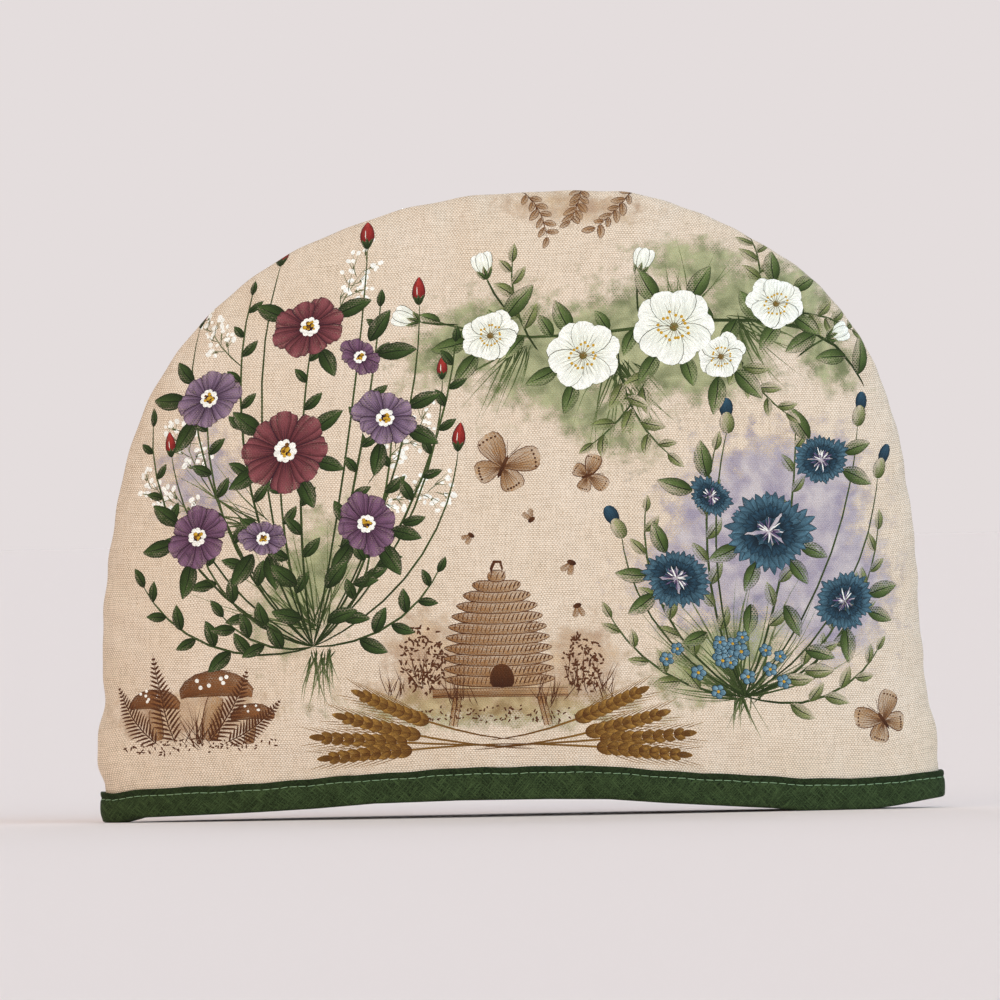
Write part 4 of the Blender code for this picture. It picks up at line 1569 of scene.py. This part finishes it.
def paint_print(flat, triangles, loops):
    """The printed panel's corner layers: ink colour and cover, place in the brush stroke, washes."""
    middles = Spots(flat[triangles].mean(axis=1))
    owner = np.full(len(triangles), -1)
    for index, loop in enumerate(loops):
        owner[middles.inside(loop)] = index
    ink = np.zeros((len(triangles), 3, 4))
    brush = np.zeros((len(triangles), 3, 2))
    order = np.argsort(owner, kind="stable")
    starts = np.searchsorted(owner[order], np.arange(len(loops) + 1))
    for index, (name, spine, halves) in enumerate(strokes):
        own = order[starts[index] : starts[index + 1]]
        if not len(own):
            continue
        root, tip, root_cover, tip_cover, edge, edge_share, pale_side = INKS[name]
        along, across, far, aside = stroke_place(flat[triangles[own]].reshape(-1, 2), spine, halves)
        share = along[:, None]
        colour = np.array(linear(root)) * (1 - share) + np.array(linear(tip)) * share
        edging = (edge_share * abs(across) ** EDGE_FADE)[:, None]
        colour = colour * (1 - edging) + np.array(linear(edge)) * edging
        cover = root_cover * (1 - along) + tip_cover * along
        cover *= 1.0 - pale_side * smooth(0.5 + PALE_STEP * across)
        colour[:, 3] = cover
        ink[own] = colour.reshape(-1, 3, 4)
        aside = aside + STREAK_SHIFT * (index % STREAK_ROUND)
        brush[own] = np.stack([far, aside], axis=1).reshape(-1, 3, 2)
    washes = np.concatenate([wash_amounts(flat), np.ones((len(flat), 1))], axis=1)
    return {"ink": ink, "brush": brush, "wash": washes[triangles]}


# --------------------------------------------------------------------------------------- materials

# Lengths on the cloth are in millimetres. A pattern's scale is how many of its grains go to one.
CANVAS_PITCH = (0.61, 0.82, 1.0)  # thread to thread, across and up: 16 and 12 to the centimetre
CANVAS_DRIFT = 2.6  # how far the canvas's threads stray
CANVAS_DRIFT_SCALE = 0.06  # over about 17 mm
CANVAS_YARN = (0.12, 1.2)  # thick places in the yarn, about 8 mm along it and 0.8 mm across it
CANVAS_TONE_SCALE = 0.03  # the cloth is paler and darker over about 33 mm
FLECK_SCALE = 0.9  # bits of seed husk, about 1 mm
BLOTCH_SCALE = 0.16  # a wash breaks up over about 6 mm
DEPTH_SCALE = 0.107  # and is deeper and paler over about 9 mm
STREAK = (0.22, 1.5, 1.0)  # streaks of the brush's hairs, about 4.5 mm long and 0.7 mm wide
TAPE_PITCH = 0.42  # the tape's threads, drawn about a third coarser than real ones so that they show
TAPE_YARN = (0.14, 2.4)  # thick places, about 7 mm along the yarn and 0.4 mm across it
TAPE_FUZZ_SCALE = 2.8  # fuzz as fine as the threads
TAPE_WEAR_SCALE = 0.12  # handling pales the tape over about 8 mm
STITCHED_AT = 12.6  # the stitch line, from the middle of the tape
THREAD_TWIST_SCALE = 900.0  # to the metre: the sewing thread's twist, about 1 mm


def yarn_noise(tree, cloth, yarn, detail):
    """Noise drawn out along the threads that run across the cloth, and along those that run up it."""
    noises = []
    along, across = yarn
    for stretch in ((along, across, 1.0), (across, along, 1.0)):
        place = add(tree, "VectorMath", {"operation": "MULTIPLY"}, {0: cloth, 1: stretch})
        noises.append(add(tree, "TexNoise", {}, {"Vector": place, "Scale": 1.0, "Detail": detail}))
    return noises


def cotton_surface(tree, colour, height, relief, roughness, specular, sheen, tint):
    """Cotton's surface: matt fibre with a faint fuzz. relief is how strongly height shows, and the
    metres that it stands for."""
    strength, distance = relief
    raised = add(tree, "Bump", {}, {"Strength": strength, "Distance": distance, "Height": height})
    values = {
        "Base Color": colour,
        "Roughness": roughness,
        "Normal": raised,
        "IOR": 1.46,
        "Specular IOR Level": specular,
        "Sheen Weight": sheen,
        "Sheen Roughness": 0.5,
        "Sheen Tint": linear(tint),
    }
    surface = add(tree, "BsdfPrincipled", {}, values)
    add(tree, "OutputMaterial", {}, {"Surface": surface})


def canvas_threads(tree, cloth):
    """The canvas's plain weave: how high its threads stand, and that height as a share from 0 to 1, which
    paints the raised threads pale and the holes between them dark as painted light and shade.
    """
    drift = add(tree, "TexNoise", {}, {"Vector": cloth, "Scale": CANVAS_DRIFT_SCALE, "Detail": 3.0})
    drift = drift.node.outputs["Color"]
    drift = add(tree, "VectorMath", {"operation": "SUBTRACT"}, {0: drift, 1: (0.5, 0.5, 0.5)})
    drift = add(tree, "VectorMath", {"operation": "SCALE"}, {0: drift, "Scale": CANVAS_DRIFT})
    threads = add(tree, "VectorMath", {"operation": "ADD"}, {0: cloth, 1: drift})
    per_thread = tuple(math.pi / pitch for pitch in CANVAS_PITCH)
    turns = add(tree, "VectorMath", {"operation": "MULTIPLY"}, {0: threads, 1: per_thread})
    turns = add(tree, "VectorMath", {"operation": "SINE"}, {0: turns})
    waves = add(tree, "SeparateXYZ", {}, {0: turns}).node.outputs
    weave = add(tree, "Math", {"operation": "MULTIPLY"}, {0: waves[0], 1: waves[1]})
    rows = add(tree, "Math", {"operation": "MULTIPLY"}, {0: waves[1], 1: waves[1]})
    weave = add(tree, "Math", {"operation": "MULTIPLY_ADD"}, {0: rows, 1: 1.1, 2: weave})
    across, up = yarn_noise(tree, threads, CANVAS_YARN, 2.0)
    yarn = add(tree, "Math", {"operation": "ADD"}, {0: across, 1: up})
    yarn = add(tree, "Math", {"operation": "MULTIPLY_ADD"}, {0: yarn, 1: 0.9, 2: -1.45})
    height = add(tree, "Math", {"operation": "ADD"}, {0: weave, 1: yarn})
    return height, add(tree, "MapRange", {}, {0: height, 1: -1.35, 2: 0.35})


def canvas_ground(tree, cloth, thread_rise_and_painted_shade):
    """The unprinted canvas: ecru, darker between the threads with painted shade and paler on their raised
    tops with painted light, uneven in tone and flecked with husk.
    """
    tone = add(tree, "TexNoise", {}, {"Vector": cloth, "Scale": CANVAS_TONE_SCALE, "Detail": 5.0})
    tone = add(tree, "MapRange", {}, {0: tone, 1: 0.3, 2: 0.7, 3: 0.1, 4: 0.45})
    # Painted light and shade on the weave: the dark colour stands for shade in the holes between the threads,
    # and the pale one for the lit tops of the raised threads.
    dark, light = linear("#907C61"), linear("#F8E8D7")
    ground = add(tree, "Mix", {"data_type": "RGBA"}, {0: thread_rise_and_painted_shade, 6: dark, 7: light})
    toning = {"data_type": "RGBA", "blend_type": "MULTIPLY"}
    ground = add(tree, "Mix", toning, {0: tone, 6: ground, 7: linear("#F1E7D6")})
    flecks = add(tree, "TexNoise", {}, {"Vector": cloth, "Scale": FLECK_SCALE, "Detail": 1.0})
    flecks = add(tree, "MapRange", {}, {0: flecks, 1: 0.735, 2: 0.78, 3: 0.0, 4: 0.55})
    return add(tree, "Mix", {"data_type": "RGBA"}, {0: flecks, 6: ground, 7: linear("#9A8258")})


def washes(tree, cloth, colour, grip):
    """The washes: thin ink that breaks up into blotches and catches only the raised threads."""
    settings = {"Vector": cloth, "Scale": BLOTCH_SCALE, "Detail": 5.0, "Roughness": 0.62}
    blotch = add(tree, "TexNoise", {}, settings)
    blotch = add(tree, "Math", {"operation": "MULTIPLY_ADD"}, {0: blotch, 1: 1.5, 2: -0.75})
    rough = add(tree, "Math", {"operation": "ADD"}, {0: blotch, 1: grip})
    settings = {"Vector": cloth, "Scale": DEPTH_SCALE, "Detail": 4.0, "Distortion": 0.4}
    depth = add(tree, "TexNoise", {}, settings)
    depth = add(tree, "MapRange", {}, {0: depth, 1: 0.35, 2: 0.65})
    wash = add(tree, "Attribute", {"attribute_name": "wash"})
    amounts = add(tree, "SeparateColor", {}, {0: wash}).node.outputs
    for amount, pale, full, strength in (
        (amounts[0], "#A9AE80", "#5C6B3C", 0.86),
        (amounts[1], "#BFB7BE", "#8B84A0", 0.82),
        (amounts[2], "#C8A880", "#94683F", 0.62),
    ):
        patch = add(tree, "Math", {"operation": "ADD"}, {0: amount, 1: rough})
        soft = {"interpolation_type": "SMOOTHSTEP"}
        patch = add(tree, "MapRange", soft, {0: patch, 1: 0.30, 2: 0.62, 3: 0.0, 4: strength})
        inside = add(tree, "Math", {"operation": "GREATER_THAN"}, {0: amount, 1: 0.02})
        patch = add(tree, "Math", {"operation": "MULTIPLY"}, {0: patch, 1: inside})
        dye = add(tree, "Mix", {"data_type": "RGBA"}, {0: depth, 6: linear(pale), 7: linear(full)})
        colour = add(tree, "Mix", {"data_type": "RGBA"}, {0: patch, 6: colour, 7: dye})
    return colour


def brush_strokes(tree, colour, grip):
    """The brush strokes: thicker ink, streaked along the stroke, and dry where there is little of it.
    Gives the colour, and how much ink lies on the cloth."""
    ink = add(tree, "Attribute", {"attribute_name": "ink"}).node.outputs
    brush = add(tree, "UVMap", {"uv_map": "brush"})
    brush = add(tree, "VectorMath", {"operation": "MULTIPLY"}, {0: brush, 1: STREAK})
    streak = add(tree, "TexNoise", {}, {"Vector": brush, "Scale": 1.0, "Detail": 3.0})
    spread = add(tree, "Math", {"operation": "MULTIPLY_ADD"}, {0: streak, 1: 0.75, 2: -0.375})
    spread = add(tree, "Math", {"operation": "ADD"}, {0: spread, 1: grip})
    cover = add(tree, "Math", {"operation": "ADD"}, {0: ink["Alpha"], 1: spread})
    soft = {"interpolation_type": "SMOOTHSTEP"}
    cover = add(tree, "MapRange", soft, {0: cover, 1: 0.22, 2: 0.88})
    inked = add(tree, "Math", {"operation": "GREATER_THAN"}, {0: ink["Alpha"], 1: 0.01})
    cover = add(tree, "Math", {"operation": "MULTIPLY"}, {0: cover, 1: inked})
    strength = add(tree, "MapRange", {}, {0: streak, 1: 0.3, 2: 0.7, 3: 0.82, 4: 1.22})
    pigment = add(tree, "VectorMath", {"operation": "SCALE"}, {0: ink["Color"], "Scale": strength})
    return add(tree, "Mix", {"data_type": "RGBA"}, {0: cover, 6: colour, 7: pigment}), cover


def canvas_material():
    """Plain-woven cotton canvas, unbleached and printed with pigment: a matt ecru cloth with rows of fine
    holes between its threads painted dark as shade, thick places in the yarn, and ink that sits on top of it."""
    material, tree = new_material("printed_cotton_canvas")
    cloth = add(tree, "UVMap", {"uv_map": "cloth"})
    height, thread_rise_and_painted_shade = canvas_threads(tree, cloth)
    colour = canvas_ground(tree, cloth, thread_rise_and_painted_shade)
    # Ink takes on the threads that stand up, and misses the holes between them.
    grip = add(tree, "Math", {"operation": "MULTIPLY_ADD"}, {0: thread_rise_and_painted_shade, 1: 0.5, 2: -0.32})
    colour = washes(tree, cloth, colour, grip)
    colour, cover = brush_strokes(tree, colour, grip)
    raised = add(tree, "Math", {"operation": "MULTIPLY_ADD"}, {0: cover, 1: 0.6, 2: height})
    cotton_surface(tree, colour, raised, (0.6, 0.00012), 0.88, 0.25, 0.10, "#FFF6E6")
    return material


def binding_material():
    """Cotton bias tape, dyed bottle green: matt, with its fine threads at 45 degrees to the edge, and painted
    shade on its folded edge beyond the stitch line.
    """
    material, tree = new_material("cotton_bias_tape")
    cloth = add(tree, "UVMap", {"uv_map": "cloth"})
    turned = {"Vector": cloth, "Angle": math.pi / 4}
    turned = add(tree, "VectorRotate", {"rotation_type": "Z_AXIS"}, turned)
    per_thread = math.pi / TAPE_PITCH
    turns = add(tree, "VectorMath", {"operation": "SCALE"}, {0: turned, "Scale": per_thread})
    turns = add(tree, "VectorMath", {"operation": "SINE"}, {0: turns})
    waves = add(tree, "SeparateXYZ", {}, {0: turns}).node.outputs
    weave = add(tree, "Math", {"operation": "MULTIPLY"}, {0: waves[0], 1: waves[1]})
    across, up = yarn_noise(tree, turned, TAPE_YARN, 1.0)
    thick = add(tree, "Math", {"operation": "MAXIMUM"}, {0: across, 1: up})
    fuzz = add(tree, "TexNoise", {}, {"Vector": cloth, "Scale": TAPE_FUZZ_SCALE, "Detail": 2.0})
    fuzz = add(tree, "Math", {"operation": "MULTIPLY_ADD"}, {0: fuzz, 1: 0.8, 2: thick})
    worn = add(tree, "TexNoise", {}, {"Vector": cloth, "Scale": TAPE_WEAR_SCALE, "Detail": 3.0})
    worn = add(tree, "Math", {"operation": "MULTIPLY_ADD"}, {0: worn, 1: 0.16, 2: fuzz})
    height = add(tree, "Math", {"operation": "MULTIPLY_ADD"}, {0: weave, 1: 0.10, 2: worn})
    shade = add(tree, "MapRange", {}, {0: height, 1: 0.86, 2: 1.26})
    dark, pale = linear("#0D1507"), linear("#465935")
    dye = add(tree, "Mix", {"data_type": "RGBA"}, {0: shade, 6: dark, 7: pale})
    # Painted shade: beyond the stitch line the folded edge is drawn halfway to the dark dye, where the fold
    # turns up out of the light.
    across = add(tree, "SeparateXYZ", {}, {0: cloth}).node.outputs[1]
    across = add(tree, "Math", {"operation": "ABSOLUTE"}, {0: across})
    edge = {0: across, 1: STITCHED_AT - 0.3, 2: STITCHED_AT + 0.5, 4: 0.5}
    painted_fold_shade = add(tree, "MapRange", {}, edge)
    dye = add(tree, "Mix", {"data_type": "RGBA"}, {0: painted_fold_shade, 6: dye, 7: dark})
    cotton_surface(tree, dye, height, (0.5, 0.00008), 0.86, 0.15, 0.04, "#C8D6BE")
    return material


def thread_material():
    """Mercerised sewing cotton, pale green: a fine twist with a slight shine."""
    material, tree = new_material("sewing_cotton")
    place = add(tree, "TexCoord").node.outputs["Object"]
    twist = add(tree, "TexNoise", {}, {"Vector": place, "Scale": THREAD_TWIST_SCALE, "Detail": 2.0})
    dark, pale = linear("#6C8E68"), linear("#A2BD98")
    dye = add(tree, "Mix", {"data_type": "RGBA"}, {0: twist, 6: dark, 7: pale})
    cotton_surface(tree, dye, twist, (0.4, 0.00006), 0.6, 0.25, 0.10, "#E4EEDC")
    return material


# ----------------------------------------------------------------------------- the cosy's pieces

compose()
loops = stroke_loops()
print_points, print_edges = print_outlines(loops)


def printed(flat, triangles):
    """Layers of the printed panel."""
    return paint_print(flat, triangles, loops)


canvas = canvas_material()
tape = binding_material()
cotton = thread_material()

front = padded_panel("front_panel_cloth", FRONT, canvas, print_points, print_edges, printed)
back = padded_panel("back_panel_cloth", BACK, canvas)
binding = hem_binding(tape)
outer_stitches = stitch_row("outer_stitching", False, cotton)
inner_stitches = stitch_row("inner_stitching", True, cotton)

for piece, node, slot in (
    (front, "front_panel", "printed_canvas"),
    (back, "back_panel", "printed_canvas"),
    (binding, "hem_binding", "bias_cotton"),
):
    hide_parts(node)
for piece in (front, back, binding, outer_stitches, inner_stitches):
    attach(piece, "root")


# -------------------------------------------------------------------------- floor, lights, camera

# Lengths here are in metres.
LIGHT_BREADTH = math.radians(70)
FLOOR_HALF = 60.0
CAMERA_DISTANCE = 9.0
FRAME_WIDTH = 0.4  # what the picture spans at the seam
FRAME_MIDDLE = (-0.0066, 0.0, 0.1261)
CAMERA_ROLL = math.radians(-1.07)
SENSOR_WIDTH = 36.0  # but this one is in millimetres, as cameras give it


def soft_light(name, side, strength, colour):
    """A broad, far-off light from one side, which reaches the floor evenly."""
    lamp = bpy.data.lights.new(name, "SUN")
    lamp.energy = strength
    lamp.angle = LIGHT_BREADTH
    lamp.color = linear(colour)[:3]
    light = bpy.data.objects.new(name, lamp)
    bpy.context.scene.collection.objects.link(light)
    light.rotation_euler = Vector(side).to_track_quat("Z", "Y").to_euler()


def floor():
    """A wide matt floor of pale paper."""
    material, tree = new_material("pale_paper")
    finish = {"Base Color": linear("#EEE4E1"), "Roughness": 0.95, "Specular IOR Level": 0.2}
    surface = add(tree, "BsdfPrincipled", {}, finish)
    add(tree, "OutputMaterial", {}, {"Surface": surface})
    corners = [(x * FLOOR_HALF, y * FLOOR_HALF, 0) for x, y in ((-1, -1), (1, -1), (1, 1), (-1, 1))]
    mesh = bpy.data.meshes.new("floor")
    mesh.from_pydata(corners, [], [(0, 1, 2, 3)])
    mesh.materials.append(material)
    plane = bpy.data.objects.new("floor", mesh)
    bpy.context.scene.collection.objects.link(plane)


def surroundings():
    """Even pale light from all round, and a plain pale backdrop as far as the eye sees."""
    world = bpy.data.worlds.new("studio")
    bpy.context.scene.world = world
    world.use_nodes = True
    tree = world.node_tree
    tree.nodes.clear()
    light = add(tree, "Background", {}, {"Color": linear("#F7FAFF"), "Strength": 0.27})
    backdrop = add(tree, "Background", {}, {"Color": linear("#E4DDDD"), "Strength": 1.0})
    seen = add(tree, "LightPath").node.outputs["Is Camera Ray"]
    mixed = add(tree, "MixShader", {}, {0: seen, 1: light, 2: backdrop})
    add(tree, "OutputWorld", {}, {"Surface": mixed})


def camera():
    """Level with the middle of the front and square to it, from far enough off to keep it undistorted."""
    lens = bpy.data.cameras.new("camera")
    lens.sensor_width = SENSOR_WIDTH
    lens.lens = SENSOR_WIDTH * CAMERA_DISTANCE / FRAME_WIDTH
    lens.clip_end = 200.0
    eye = bpy.data.objects.new("camera", lens)
    bpy.context.scene.collection.objects.link(eye)
    eye.location = Vector(FRAME_MIDDLE) - Vector((0.0, CAMERA_DISTANCE, 0.0))
    upright = Matrix.Rotation(math.pi / 2, 4, "X")
    eye.rotation_euler = (upright @ Matrix.Rotation(CAMERA_ROLL, 4, "Z")).to_euler()
    bpy.context.scene.camera = eye


floor()
surroundings()
soft_light("front_light", (0.0, -1.0, 0.15), 1.6, "#FFF1E2")
soft_light("warm_light", (-0.80, -0.55, 0.35), 0.6, "#FFDDB5")
soft_light("cool_light", (0.80, -0.55, 0.35), 1.7, "#BCE5FF")
soft_light("high_light", (0.0, -0.35, 0.95), 0.5, "#FFF7EF")
soft_light("back_light", (0.0, 0.92, 0.40), 1.5, "#FBF8FF")
camera()
bpy.context.scene.view_settings.view_transform = "Standard"
